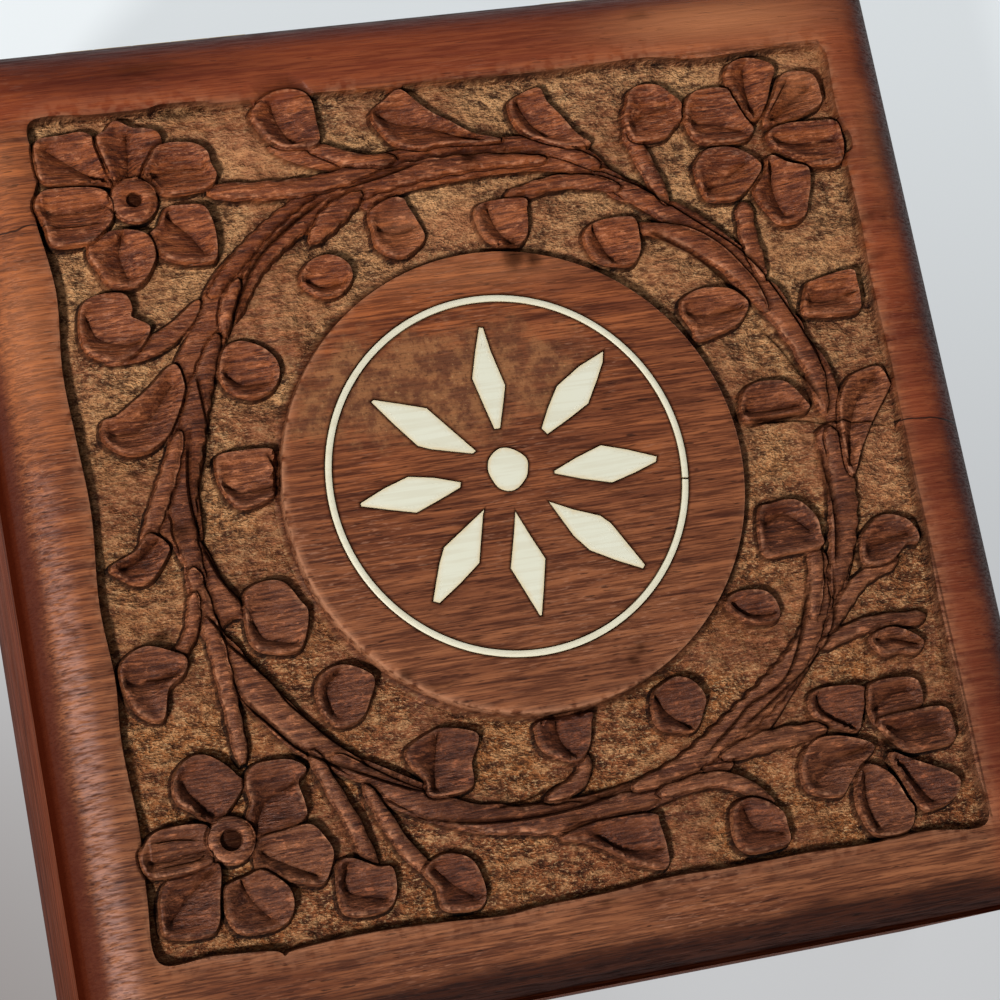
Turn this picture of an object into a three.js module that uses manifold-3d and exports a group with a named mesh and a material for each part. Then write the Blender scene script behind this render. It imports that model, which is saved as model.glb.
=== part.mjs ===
// Carved keepsake box of rosewood: five body boards, two brass hinges and a plank lid with inlay
import * as THREE from "three";
import { mergeVertices } from "three/addons/utils/BufferGeometryUtils.js";
import Module from "manifold-3d";

const wasm = await Module();
wasm.setup();

// Whole box, in millimetres: X to the right, Y to the back, Z up, the base's centre at the origin
const boxWidth = 124;
const boxDepth = 127;
const boxHeight = 57;
const cornerRadius = 4;
const footRadius = 3;

// Body boards
const wallThickness = 10;
const bottomThickness = 5;
const rebateWidth = 4;
const bottomClearance = 0.3;

// Lid plank and its sunk square field
const lidThickness = 16.5;
const lidRoundover = 7.7;
const fieldSide = 104.4;
const fieldTurn = THREE.MathUtils.degToRad(-0.69);
const fieldCentreX = -0.2;
const fieldCentreY = -0.13;
const groundDepth = 1.9;
const carvingRoot = 0.6;

// Carving: how far below the lid's top each kind of motif stands, and how deep it is scooped
const petalDrop = 0.35;
const petalScoop = 0.7;
const petalGap = 0.25;
const budDrop = 0.45;
const budScoop = 0.75;
const leafDrop = 0.4;
const leafScoop = 0.6;
const strandDrop = 0.3;
const strandBevel = 0.65;
const eyeRadius = 2.6;
const eyePitRadius = 1;
const eyeHeight = 1.3;

// Plain disc in the middle and the groove round it
const discRadius = 29.5;
const discCentreX = 0.25;
const discCentreY = -0.5;
const grooveWidth = 1;
const grooveDepth = 0.4;

// Inlay let into the disc
const inlayDepth = 1.8;
const inlayClearance = 0.15;
const ringRadius = 22.73;
const ringWidth = 0.8;
const ringCentreX = -0.68;
const ringCentreY = 0.2;
const ringEndGap = 0.3;
const ringEndAngle = THREE.MathUtils.degToRad(-9);
const dotRadius = 2.85;
const dotCentreX = -0.63;
const dotCentreY = 0.75;
const rosetteRadius = 19;

// Butt hinges
const hingeInset = 16.5;
const leafWidth = 25;
const leafReach = 9;
const leafThickness = 1;
const leafGap = 0.3;
const mortiseClearance = 0.3;
const knuckleRadius = 1.8;
const knuckleCount = 5;
const knuckleGap = 0.3;
const knuckleStandOff = 0.3;
const pinRadius = 0.8;
const pinClearance = 0.1;

// Countersunk wood screws
const screwLength = 9;
const screwHeadRadius = 1.9;
const screwShankRadius = 1;
const screwTipLength = 2.2;
const screwClearance = 0.15;
const screwSpacing = 15;

// Facets
const cornerSteps = 4;
const roundoverSteps = 6;
const discSteps = 72;
const dotSteps = 20;
const eyeSteps = 10;
const knuckleSteps = 18;
const screwSteps = 12;
const strandStepsPerSpan = 2;

// How far a cut runs past a face, and shares that shape the strands and the scoops
const overrun = 2;
const strandShoulderShare = 0.55;
const scoopRimShare = 0.62;

const bodyTop = boxHeight - lidThickness;
const groundLevel = boxHeight - groundDepth;
const rootLevel = groundLevel - carvingRoot;

const wood = new THREE.MeshStandardMaterial({ color: 0x7a3a1c, roughness: 0.5, metalness: 0 });
const lidWood = new THREE.MeshStandardMaterial({ color: 0x6e3119, roughness: 0.55, metalness: 0 });
const bone = new THREE.MeshStandardMaterial({ color: 0xe1dec0, roughness: 0.45, metalness: 0 });
const brass = new THREE.MeshStandardMaterial({ color: 0xb08d4a, roughness: 0.35, metalness: 1 });

// A solid to join and cut, from a closed geometry
function solidOf(geometry) {
  const bare = geometry.clone();
  bare.deleteAttribute("normal");
  bare.deleteAttribute("uv");
  const welded = mergeVertices(bare);
  return new wasm.Manifold(
    new wasm.Mesh({
      numProp: 3,
      vertProperties: welded.attributes.position.array,
      triVerts: new Uint32Array(welded.index.array),
    }),
  );
}

// A named mesh of a finished solid
function meshOf(name, solid, material) {
  const { vertProperties, triVerts } = solid.getMesh();
  const geometry = new THREE.BufferGeometry();
  geometry.setAttribute("position", new THREE.BufferAttribute(vertProperties, 3));
  geometry.setIndex(new THREE.BufferAttribute(triVerts, 1));
  const flat = geometry.toNonIndexed();
  flat.computeVertexNormals();
  const mesh = new THREE.Mesh(flat, material);
  mesh.name = name;
  return mesh;
}

// A block between two corners
function block(low, high) {
  const size = high.map((value, axis) => value - low[axis]);
  const centre = high.map((value, axis) => (value + low[axis]) / 2);
  return solidOf(new THREE.BoxGeometry(...size).translate(...centre));
}

// A prism of a shape, from one level to another
function prism(shape, low, high, steps) {
  const options = { depth: high - low, bevelEnabled: false, curveSegments: steps };
  return solidOf(new THREE.ExtrudeGeometry(shape, options).translate(0, 0, low));
}

function discShape(radius, x, y) {
  return new THREE.Shape().absarc(x, y, radius, 0, 2 * Math.PI, false);
}

function roundedSquare(width, depth, radius) {
  const right = width / 2;
  const back = depth / 2;
  const shape = new THREE.Shape();
  shape.absarc(right - radius, back - radius, radius, 0, Math.PI / 2, false);
  shape.absarc(radius - right, back - radius, radius, Math.PI / 2, Math.PI, false);
  shape.absarc(radius - right, radius - back, radius, Math.PI, 1.5 * Math.PI, false);
  shape.absarc(right - radius, radius - back, radius, 1.5 * Math.PI, 2 * Math.PI, false);
  return shape;
}

// A board-edged block: rounded plan corners, and one long edge rounded by a quarter circle
function softBlock(low, high, edgeRadius) {
  const right = boxWidth / 2 - edgeRadius;
  const back = boxDepth / 2 - edgeRadius;
  const corners = [[right, back], [-right, back], [-right, -back], [right, -back]];
  const outline = new THREE.Shape(corners.map(([x, y]) => new THREE.Vector2(x, y)));
  const swollen = new THREE.ExtrudeGeometry(outline, {
    depth: high - low,
    bevelThickness: edgeRadius,
    bevelSize: edgeRadius,
    bevelSegments: roundoverSteps,
  });
  const upright = prism(roundedSquare(boxWidth, boxDepth, cornerRadius), low, high, cornerSteps);
  return { swollen, upright };
}

// The body's outside, its lower edge rounded
function bodyBlock() {
  const { swollen, upright } = softBlock(0, bodyTop, footRadius);
  return upright.intersect(solidOf(swollen.translate(0, 0, footRadius)));
}

// The lid's outside, its upper edge rounded
function lidBlock() {
  const { swollen, upright } = softBlock(bodyTop, boxHeight, lidRoundover);
  return upright.intersect(solidOf(swollen.translate(0, 0, bodyTop - lidRoundover)));
}

// The body boards: front and back run the full width, the side boards fit between them
function bodyBoards() {
  const right = boxWidth / 2;
  const back = boxDepth / 2;
  const innerRight = right - wallThickness;
  const innerBack = back - wallThickness;
  const top = bodyTop + overrun;
  const cavity = block([-innerRight, -innerBack, -overrun], [innerRight, innerBack, top]);
  const rebateRight = innerRight + rebateWidth;
  const rebateBack = innerBack + rebateWidth;
  const rebateCorner = [rebateRight, rebateBack, bottomThickness];
  const rebate = block([-rebateRight, -rebateBack, -overrun], rebateCorner);
  const walls = bodyBlock().subtract(cavity).subtract(rebate);
  const bottomRight = rebateRight - bottomClearance;
  const bottomBack = rebateBack - bottomClearance;
  const slab = (low, high) => walls.intersect(block([...low, -overrun], [...high, top]));
  return {
    front_board: slab([-right, -back], [right, -innerBack]),
    back_board: slab([-right, innerBack], [right, back]),
    left_board: slab([-right, -innerBack], [-innerRight, innerBack]),
    right_board: slab([innerRight, -innerBack], [right, innerBack]),
    bottom_board: block([-bottomRight, -bottomBack, 0], [bottomRight, bottomBack, bottomThickness]),
  };
}

// The carver's drawing: places below are shares of the field's side, in 104ths, from its centre
const drawingSquares = 104;
const square = fieldSide / drawingSquares;

const eyeShares = [[-41, 41], [-41.7, -38.9]];

const petalShares = [
  [[-51.6, 49.5], [-46, 49.8], [-44, 46], [-43, 43.2], [-48, 43.4], [-51.6, 44.2]],
  [
    [-44.3, 49], [-42, 51], [-38, 49.7], [-36.6, 47.6],
    [-38.4, 46], [-40.7, 43.2], [-42.8, 43.2], [-43.9, 46.3],
  ],
  [[-38, 46], [-35.5, 47.6], [-32.5, 47.2], [-31, 45], [-31, 42], [-35.4, 41], [-37.6, 41.3], [-38.2, 43.5]],
  [[-37.3, 39.2], [-33, 39.1], [-31.8, 36.5], [-32, 32.5], [-35.4, 32], [-39, 34], [-39.6, 36]],
  [
    [-47, 35.7], [-43.5, 37], [-40.3, 36], [-39.5, 33.6],
    [-41.4, 30.4], [-43.5, 29.8], [-46.2, 31], [-47.4, 34],
  ],
  [[-51.8, 41], [-51, 43], [-46, 42.8], [-44, 41], [-44.2, 38.4], [-47.3, 36], [-51.6, 36.2]],
  [[38.2, 48.8], [41, 51.2], [44.6, 49.6], [42.6, 44.2], [41, 43], [39.4, 45]],
  [[45.7, 48.3], [50, 48], [50.4, 44.4], [46, 42.6], [42.6, 42], [43.4, 45]],
  [[44.8, 41.9], [51.5, 41.7], [51.6, 37.5], [48.5, 36], [44, 38.4], [42.4, 40]],
  [[42, 37.8], [46.6, 35.7], [46, 31.5], [43.4, 28.8], [40.4, 29.8], [38.9, 33], [40.8, 35.8]],
  [[33.6, 39.5], [38.9, 38.4], [40.3, 36.5], [37.8, 33.6], [33, 32.8], [31.7, 36]],
  [[31.9, 45.7], [34, 47.5], [37.5, 47.4], [39.5, 43.4], [40.3, 41.6], [38.6, 40.5], [33, 40.8]],
  [[32.6, -33.6], [34.5, -32], [39.5, -32.6], [38.6, -36.6], [37.6, -37.8], [33, -35.3]],
  [[40.2, -33.6], [42, -32.2], [46.6, -32.6], [47, -35.6], [42.5, -36.7], [40.4, -37.3]],
  [[41.2, -37.2], [49.8, -36.8], [50.2, -41], [44.2, -41.2], [42, -39.4]],
  [[41.8, -41.6], [44.2, -42.6], [49.4, -45.4], [48.6, -48], [45, -48.7], [43, -45]],
  [[36.9, -43.2], [38.6, -42.3], [41.2, -44.4], [42.8, -48.5], [41, -51], [37.6, -51], [36.2, -47.5]],
  [[29.9, -41.2], [32, -38.4], [38.4, -39.2], [39.3, -40.6], [35.6, -44.4], [33.6, -45.3], [30.2, -44]],
  [
    [-47.3, -32.4], [-46.5, -29.6], [-43.5, -28.5], [-39.6, -31.8],
    [-41, -34.8], [-43.5, -36.4], [-45.7, -34.8],
  ],
  [
    [-38.9, -32.5], [-37.5, -30.6], [-33, -30.7], [-31.8, -32.6],
    [-32.8, -37.8], [-36.6, -39], [-39.2, -37.6],
  ],
  [[-38.4, -39.7], [-32.2, -38.8], [-30, -42], [-31.8, -45.6], [-37, -44], [-39.2, -42.2]],
  [[-43, -44.3], [-38.8, -43.2], [-36, -45.3], [-36.6, -49.4], [-42, -49.8], [-43.6, -47.2]],
  [[-50.5, -43.4], [-44.3, -41.6], [-43.7, -43], [-44.8, -48.4], [-46.6, -49.5], [-50.9, -48.6]],
  [[-51.8, -38.6], [-50, -36.8], [-45, -36.8], [-44, -39], [-45.2, -41.4], [-51.6, -41.4]],
];

const budShares = [
  [[-9.1, 37.4], [-7.2, 36.6], [-5.8, 32.5], [-8.8, 29.8], [-11.4, 31.2], [-11.9, 35.5]],
  [[2.2, 35.3], [8, 35.5], [7.9, 31.6], [5, 29.8], [2.6, 30.8]],
  [[15.3, 30.2], [18.5, 31.8], [22, 31.3], [22, 27], [20, 25.6], [16.2, 26.6]],
  [[26.6, 20.3], [29.5, 21.1], [33.6, 20], [34.7, 18], [32.5, 15.6], [27.6, 14.7], [26.1, 17.6]],
  [[31.8, 6.6], [33.5, 7.9], [38.5, 7], [39.9, 3.6], [31.7, 3.5]],
  [[31, -8.6], [34, -7.8], [37, -8.4], [38.5, -11], [38.1, -14], [30.6, -14]],
  [[24.3, -19.6], [26.2, -18.4], [29.5, -18.7], [30.7, -20.5], [30.4, -22.4], [26, -21.6]],
  [[13.6, -28.6], [16.5, -27.8], [19, -30.2], [18.2, -33.2], [16.6, -34.5], [12.7, -33.4], [12.4, -30.5]],
  [[-2, -30.8], [4.1, -30.6], [3.4, -34.4], [1, -36], [-2, -34.3], [-2.8, -32.2]],
  [[-16.2, -30], [-10.7, -30.6], [-10.4, -32], [-12, -37.3], [-17, -37.4], [-18.9, -32]],
  [[-28.6, -22.4], [-26.8, -20.6], [-23, -20.9], [-21.8, -23], [-23.9, -26.9], [-27.4, -27]],
  [[-35.2, -10], [-32, -8.8], [-29.2, -11], [-28.3, -13.5], [-30, -17.5], [-33.2, -17.4], [-35.6, -15]],
  [[-35.8, 7.4], [-30, 7.5], [-29.6, 5], [-30.3, 1.8], [-33.9, 0.8], [-36.3, 4]],
  [[-33.2, 20.3], [-31, 21.3], [-27.5, 19.3], [-26.8, 16.6], [-30, 14.1], [-33, 15.3], [-34, 17.7]],
  [[-22, 28.6], [-20, 30.8], [-17.2, 30.8], [-15.6, 28], [-17.4, 26.2], [-21, 26.6]],
];

const leafShares = [
  [[-24.4, 50.8], [-22, 51.5], [-17.3, 51.5], [-17.2, 45.8], [-21.3, 45.7], [-24, 48.6]],
  [[-9.5, 48.5], [-5.6, 51.5], [-1.8, 48.1], [3, 45], [7.6, 43.2], [-1.2, 43.8], [-6.8, 44.4]],
  [[8.6, 47.5], [9.4, 49.4], [12.6, 50], [15, 46], [18.2, 41.9], [12, 43.2], [9, 45.4]],
  [[24.2, 47.3], [26.5, 49.1], [30, 47.5], [31, 44.5], [28.4, 41.9], [24.4, 41.9], [23.5, 44.5]],
  [[43.5, 19.8], [49.5, 21.2], [50.1, 17.2], [49.2, 15.9], [42.4, 16.5]],
  [[51.2, 5.6], [50.6, 7.8], [46.5, 7], [44.4, 4], [43.8, -1], [44.3, -4.5], [46.2, -2], [48.6, 1.4]],
  [[44.2, -13.3], [48.4, -11.6], [51.2, -13.8], [49.2, -16.2], [46, -17.1], [43.6, -17]],
  [[42.2, -26.6], [45.4, -25.7], [48.8, -27.8], [47.8, -29.2], [43.4, -28.9]],
  [[20, -45], [23, -44.1], [26.1, -46.4], [26.2, -50], [22, -50.6], [19.6, -48.5]],
  [[-2, -45], [2.4, -44], [9.5, -44], [10.4, -50.3], [7.4, -49.7], [3, -46.9]],
  [[-15.6, -44.8], [-13.4, -46.2], [-12.7, -50.8], [-17.6, -51], [-18.4, -48.4]],
  [[-29.5, -43.6], [-25.1, -44.7], [-23.2, -46.4], [-24.3, -49.7], [-29.5, -49.7], [-30.1, -47]],
  [[-51.2, -17], [-49.5, -15], [-46.5, -14.9], [-43.7, -16.8], [-46.3, -20.1], [-47.6, -23.4], [-50.5, -22]],
  [[-47.5, -3], [-44, -3.4], [-43.6, -4.6], [-45.6, -6.3], [-48.6, -6.6], [-50.4, -4.8]],
  [[-48, 13.4], [-44.2, 15.5], [-40, 18.6], [-39, 15.6], [-41.9, 10.7], [-46.8, 9]],
  [[-47.2, 29], [-44.2, 28.9], [-43, 25.5], [-42, 23.6], [-46, 21.5], [-49.8, 22.8], [-49.6, 26.8]],
];

// The vine's strands and the stems: a centre line, then the width at its start, middle and end
const strandShares = [
  {
    line: [[-33.5, 27.5], [-28, 33], [-21, 37.6], [-13, 41], [-4, 43], [5, 43.3], [13, 42], [19, 39]],
    width: [1, 2, 1],
  },
  {
    line: [[-31, 24.5], [-27, 30.8], [-21, 35.6], [-14, 39], [-5, 40.8], [4, 41.2], [12, 40.6]],
    width: [0.8, 1.6, 0.8],
  },
  {
    line: [[-33.5, 22.5], [-36.3, 16.5], [-38.6, 10.5], [-40.6, 4], [-41.2, -2], [-40.3, -8]],
    width: [1, 2.4, 1],
  },
  { line: [[-40, 11], [-42.3, 5.5], [-44.8, 0.5], [-46.8, -4]], width: [1, 1.4, 1] },
  {
    line: [[-41.8, -9.5], [-39.5, -15], [-36.8, -20], [-33.5, -25], [-29.5, -29.5], [-24.5, -33]],
    width: [1, 2.4, 1],
  },
  {
    line: [[-28, -31], [-20, -37], [-13, -40.4], [-5, -42.3], [3, -42.6], [10, -41.6], [17, -39.6]],
    width: [1, 2.4, 1],
  },
  { line: [[3, -35.5], [1.5, -38.5], [-3, -40.2]], width: [1, 1.2, 0.8] },
  {
    line: [[8, -40.5], [15, -38.7], [21, -35.6], [27, -31.8], [32, -27.8], [35.6, -23.2], [38, -18.3]],
    width: [1, 2.4, 1],
  },
  { line: [[38.5, -20.5], [40.8, -15], [42.3, -9.5], [42.8, -4], [42.5, 1]], width: [1, 2.4, 1.2] },
  {
    line: [[42.3, 3], [42, 9], [40, 15], [37.2, 20.5], [33.5, 26], [29, 30.5], [24, 34], [18, 38]],
    width: [1, 2.4, 1],
  },
  { line: [[21.5, 30.5], [26.5, 29.3], [31, 26.5], [34.8, 22.3], [37.3, 17.5]], width: [0.8, 1.6, 0.8] },
  { line: [[-31.6, 41], [-24, 40.4], [-17, 40.6], [-9, 42.4]], width: [1.6, 1.6, 1] },
  { line: [[37.2, 32], [37, 27], [37.8, 21.5]], width: [1.8, 1.6, 1] },
  { line: [[34, -37], [27, -37.2], [20, -38.4]], width: [1.6, 1.6, 1] },
  { line: [[-38.8, -30], [-39.2, -22], [-40, -14], [-41.2, -6]], width: [1.2, 1.2, 1.2] },
  { line: [[-18.5, 45.9], [-13, 43.2], [-7.5, 42.6]], width: [1.4, 1.2, 1] },
  { line: [[23.7, 43.5], [24.8, 39.8], [27, 33]], width: [1.6, 1.4, 1] },
  { line: [[6, 36], [12, 37.4], [17, 37.1], [21, 35.8]], width: [1.6, 1.2, 0.8] },
  { line: [[-19, 31], [-16.5, 35.4], [-12, 38.6]], width: [1, 1.2, 0.8] },
  { line: [[48, -17], [43, -18.8], [39.5, -22], [36.5, -25.3]], width: [1.2, 1.2, 1] },
  { line: [[50, -24.8], [42, -24.8], [35.5, -26.6]], width: [1.2, 1.2, 1] },
  { line: [[25.5, -46], [22.5, -42.6], [18, -40.9], [11, -41.6]], width: [1, 1.2, 1] },
  { line: [[-17.4, -48.5], [-19, -46], [-21.5, -42.5], [-24.8, -35]], width: [1, 1.2, 0.8] },
  { line: [[-25, -46], [-26.8, -39.5], [-28.6, -35], [-30.5, -30]], width: [1.2, 1.2, 1] },
  { line: [[37.4, -13], [36.8, -17.5], [35.2, -23]], width: [1.4, 1.2, 0.8] },
  { line: [[-45, -17], [-42.4, -13.5], [-41.4, -9]], width: [1, 1, 1] },
];

// The inlaid lozenges: inner tip, left point, outer tip and right point as shares of the rosette
const lozengeShares = [
  [[-0.053, 0.316], [-0.161, 0.679], [-0.032, 1.016], [0.058, 0.6]],
  [[0.247, 0.237], [0.363, 0.511], [0.768, 0.742], [0.568, 0.379]],
  [[0.258, -0.021], [0.626, 0.103], [0.984, -0.024], [0.632, -0.153]],
  [[0.189, -0.211], [0.579, -0.395], [0.75, -0.747], [0.363, -0.542]],
  [[-0.037, -0.247], [0.095, -0.616], [-0.005, -0.953], [-0.129, -0.547]],
  [[-0.263, -0.205], [-0.358, -0.547], [-0.679, -0.771], [-0.574, -0.434]],
  [[-0.363, -0.008], [-0.7, -0.163], [-1.047, -0.058], [-0.7, 0.079]],
  [[-0.232, 0.184], [-0.605, 0.268], [-0.842, 0.616], [-0.492, 0.511]],
];

// A skin through rings of equal count, closed at both ends by a fan to the ring's centre
function loft(rings) {
  const count = rings[0].length;
  const points = rings.flat();
  const faces = [];
  for (let ring = 0; ring + 1 < rings.length; ring++) {
    for (let i = 0; i < count; i++) {
      const next = (i + 1) % count;
      const a = ring * count + i;
      const b = ring * count + next;
      faces.push(a, b, b + count, a, b + count, a + count);
    }
  }
  for (const [ring, start] of [[rings[0], 0], [rings.at(-1), points.length - count]]) {
    const centre = ring.reduce((sum, point) => sum.add(point), new THREE.Vector3()).divideScalar(count);
    const hub = points.push(centre) - 1;
    for (let i = 0; i < count; i++) {
      const next = (i + 1) % count;
      const fan = start === 0 ? [hub, start + next, start + i] : [hub, start + i, start + next];
      faces.push(...fan);
    }
  }
  const geometry = new THREE.BufferGeometry().setFromPoints(points);
  geometry.setIndex(faces);
  return solidOf(geometry);
}

// A petal, bud or leaf: an upright cut round its outline, and a shallow scoop inside the rim
function scooped(outline, drop, scoop, gap) {
  const drawn = outline.map(([x, y]) => new THREE.Vector2(x * square, y * square));
  if (THREE.ShapeUtils.isClockWise(drawn)) drawn.reverse();
  const centre = new THREE.Vector2();
  drawn.forEach((point) => centre.addScaledVector(point, 1 / drawn.length));
  const reach = Math.max(...drawn.map((point) => point.distanceTo(centre)));
  const ringAt = (share, level) =>
    drawn.map((point) => {
      const moved = point.clone().sub(centre).multiplyScalar(share).add(centre);
      return new THREE.Vector3(moved.x, moved.y, level);
    });
  const rimShare = 1 - gap / reach;
  const rim = boxHeight - drop;
  return loft([
    ringAt(rimShare, rootLevel),
    ringAt(rimShare, rim),
    ringAt(rimShare * scoopRimShare, rim - scoop),
  ]);
}

// A strand of the vine: a ridge with a bevel on each side, wider in the middle than at its ends
function strand({ line, width }) {
  const knots = line.map(([x, y]) => new THREE.Vector3(x * square, y * square, 0));
  const curve = new THREE.CatmullRomCurve3(knots);
  const steps = (line.length - 1) * strandStepsPerSpan;
  const [start, middle, end] = width.map((value) => value * square);
  const crest = boxHeight - strandDrop;
  const rings = [];
  for (let i = 0; i <= steps; i++) {
    const along = i / steps;
    const point = curve.getPoint(along);
    const tangent = curve.getTangent(along);
    const across = new THREE.Vector3(tangent.y, -tangent.x, 0).normalize();
    const fullness = Math.sin(Math.PI * along);
    const half = THREE.MathUtils.lerp(THREE.MathUtils.lerp(start, end, along), middle, fullness) / 2;
    const at = (side, level) => point.clone().addScaledVector(across, side * half).setZ(level);
    rings.push([
      at(-1, rootLevel),
      at(-1, crest - strandBevel),
      at(-strandShoulderShare, crest),
      at(strandShoulderShare, crest),
      at(1, crest - strandBevel),
      at(1, rootLevel),
    ]);
  }
  return loft(rings);
}

// The ringed eye of a flower
function eye([x, y]) {
  const top = groundLevel + eyeHeight;
  const pitLevel = (groundLevel + top) / 2;
  const profile = [
    new THREE.Vector2(0, rootLevel),
    new THREE.Vector2(eyeRadius, rootLevel),
    new THREE.Vector2(eyeRadius, pitLevel),
    new THREE.Vector2((eyeRadius + eyePitRadius) / 2, top),
    new THREE.Vector2(eyePitRadius, pitLevel),
    new THREE.Vector2(0, pitLevel),
  ];
  const geometry = new THREE.LatheGeometry(profile, eyeSteps);
  geometry.rotateX(Math.PI / 2);
  geometry.translate(x * square, y * square, 0);
  return solidOf(geometry);
}

// All the motifs, in the field's own turned frame
function carving() {
  const motifs = [
    ...strandShares.map(strand),
    ...petalShares.map((outline) => scooped(outline, petalDrop, petalScoop, petalGap)),
    ...budShares.map((outline) => scooped(outline, budDrop, budScoop, 0)),
    ...leafShares.map((outline) => scooped(outline, leafDrop, leafScoop, 0)),
    ...eyeShares.map(eye),
  ];
  return motifs.reduce((sum, motif) => sum.add(motif));
}

// Turns and shifts a solid of the field's frame onto the lid
function ontoLid(solid) {
  const { vertProperties, triVerts } = solid.getMesh();
  const geometry = new THREE.BufferGeometry();
  geometry.setAttribute("position", new THREE.BufferAttribute(vertProperties, 3));
  geometry.setIndex(new THREE.BufferAttribute(triVerts, 1));
  geometry.translate(fieldCentreX, fieldCentreY, 0).rotateZ(fieldTurn);
  return solidOf(geometry);
}

// A polygon's shape, its sides moved outwards by a clearance
function polygonShape(points, clearance) {
  const corners = points.map(([x, y]) => new THREE.Vector2(x, y));
  if (THREE.ShapeUtils.isClockWise(corners)) corners.reverse();
  const moved = corners.map((corner, i) => {
    const before = corners.at(i - 1);
    const after = corners[(i + 1) % corners.length];
    const inward = corner.clone().sub(before).normalize();
    const outward = after.clone().sub(corner).normalize();
    const normal = new THREE.Vector2(inward.y + outward.y, -inward.x - outward.x).normalize();
    const spread = normal.x * inward.y - normal.y * inward.x;
    return corner.clone().addScaledVector(normal, clearance / spread);
  });
  return new THREE.Shape(moved);
}

// The inlaid ring is one bent strip, with a hair gap where its ends meet
function ringShape(clearance, endGap) {
  const outer = ringRadius + ringWidth / 2 + clearance;
  const inner = ringRadius - ringWidth / 2 - clearance;
  const from = ringEndAngle + endGap / ringRadius / 2;
  const to = ringEndAngle + 2 * Math.PI - endGap / ringRadius / 2;
  const shape = new THREE.Shape();
  shape.absarc(ringCentreX, ringCentreY, outer, from, to, false);
  shape.absarc(ringCentreX, ringCentreY, inner, to, from, true);
  return shape;
}

// The inlay, as shapes with a clearance round them, so that pieces and pockets share one drawing
function inlayShapes(clearance) {
  const shapes = { inlay_dot: discShape(dotRadius + clearance, dotCentreX, dotCentreY) };
  lozengeShares.forEach((outline, i) => {
    const points = outline.map(([x, y]) => [x * rosetteRadius, y * rosetteRadius]);
    shapes[`inlay_petal_${i + 1}`] = polygonShape(points, clearance);
  });
  return shapes;
}

function stepsFor(name) {
  return name === "inlay_dot" ? dotSteps : 1;
}

const inlayFloor = boxHeight - inlayDepth;

function inlayPieces() {
  const pieces = { inlay_ring: prism(ringShape(0, ringEndGap), inlayFloor, boxHeight, discSteps) };
  for (const [name, shape] of Object.entries(inlayShapes(0))) {
    pieces[name] = prism(shape, inlayFloor, boxHeight, stepsFor(name));
  }
  return pieces;
}

// The ring's groove is cut all the way round
function ringPocket(top) {
  const outer = discShape(ringRadius + ringWidth / 2 + inlayClearance, ringCentreX, ringCentreY);
  outer.holes.push(discShape(ringRadius - ringWidth / 2 - inlayClearance, ringCentreX, ringCentreY));
  return prism(outer, inlayFloor, top, discSteps);
}

// One wood screw, pointing down from its head at the origin, and the bore that it needs
function screwProfile(clearance) {
  const head = screwHeadRadius + clearance;
  const shank = screwShankRadius + clearance;
  const tip = screwLength + clearance;
  return [
    new THREE.Vector2(0, -tip),
    new THREE.Vector2(shank, -screwLength + screwTipLength - clearance),
    new THREE.Vector2(shank, -leafThickness),
    new THREE.Vector2(head, 0),
    new THREE.Vector2(0, 0),
  ];
}

function screw(clearance, up) {
  const geometry = new THREE.LatheGeometry(screwProfile(clearance), screwSteps);
  geometry.rotateX(up ? -Math.PI / 2 : Math.PI / 2);
  return geometry;
}

const hingeY = boxDepth / 2 + knuckleStandOff + knuckleRadius;
const knuckleLength = (leafWidth - (knuckleCount - 1) * knuckleGap) / knuckleCount;

function rod(radius, fromX, toX) {
  const geometry = new THREE.CylinderGeometry(radius, radius, toX - fromX, knuckleSteps);
  geometry.rotateZ(Math.PI / 2);
  geometry.translate((fromX + toX) / 2, hingeY, bodyTop);
  return solidOf(geometry);
}

// Screws stand in two places on each leaf, with their heads flush with the leaf's inner face
function screwPlaces(hingeX, up) {
  const face = up ? bodyTop + leafGap / 2 : bodyTop - leafGap / 2;
  const y = boxDepth / 2 - leafReach / 2;
  return [-1, 1].map((side) => [hingeX + (side * screwSpacing) / 2, y, face]);
}

// One leaf with its share of the knuckles: the fixed leaf has the even ones, the lid's the odd ones
function hingeLeaf(hingeX, up) {
  const left = hingeX - leafWidth / 2;
  const near = up ? bodyTop + leafGap / 2 : bodyTop - leafGap / 2;
  const far = up ? near + leafThickness : near - leafThickness;
  const low = Math.min(near, far);
  const high = Math.max(near, far);
  let leaf = block([left, boxDepth / 2 - leafReach, low], [left + leafWidth, hingeY, high]);
  for (let i = 0; i < knuckleCount; i++) {
    const from = left + i * (knuckleLength + knuckleGap);
    const to = from + knuckleLength;
    const mine = i % 2 === (up ? 1 : 0);
    if (mine) {
      leaf = leaf.add(rod(knuckleRadius, from, to));
    } else {
      const notchY = hingeY - knuckleRadius - knuckleStandOff;
      const nearCorner = [from - knuckleGap, notchY, low - overrun];
      const farCorner = [to + knuckleGap, hingeY + overrun, high + overrun];
      leaf = leaf.subtract(block(nearCorner, farCorner));
    }
  }
  leaf = leaf.subtract(rod(pinRadius + pinClearance, left - overrun, left + leafWidth + overrun));
  for (const place of screwPlaces(hingeX, up)) {
    leaf = leaf.subtract(solidOf(screw(screwClearance, up).translate(...place)));
  }
  return leaf;
}

// The seat of one leaf in the wood, with the bores of its screws
function hingeSeat(hingeX, up) {
  const half = leafWidth / 2 + mortiseClearance;
  const front = boxDepth / 2 - leafReach - mortiseClearance;
  const depth = leafGap / 2 + leafThickness;
  const low = up ? bodyTop - overrun : bodyTop - depth;
  const high = up ? bodyTop + depth : bodyTop + overrun;
  const seat = block([hingeX - half, front, low], [hingeX + half, boxDepth / 2 + overrun, high]);
  return screwPlaces(hingeX, up).reduce(
    (sum, place) => sum.add(solidOf(screw(screwClearance, up).translate(...place))),
    seat,
  );
}

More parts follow.
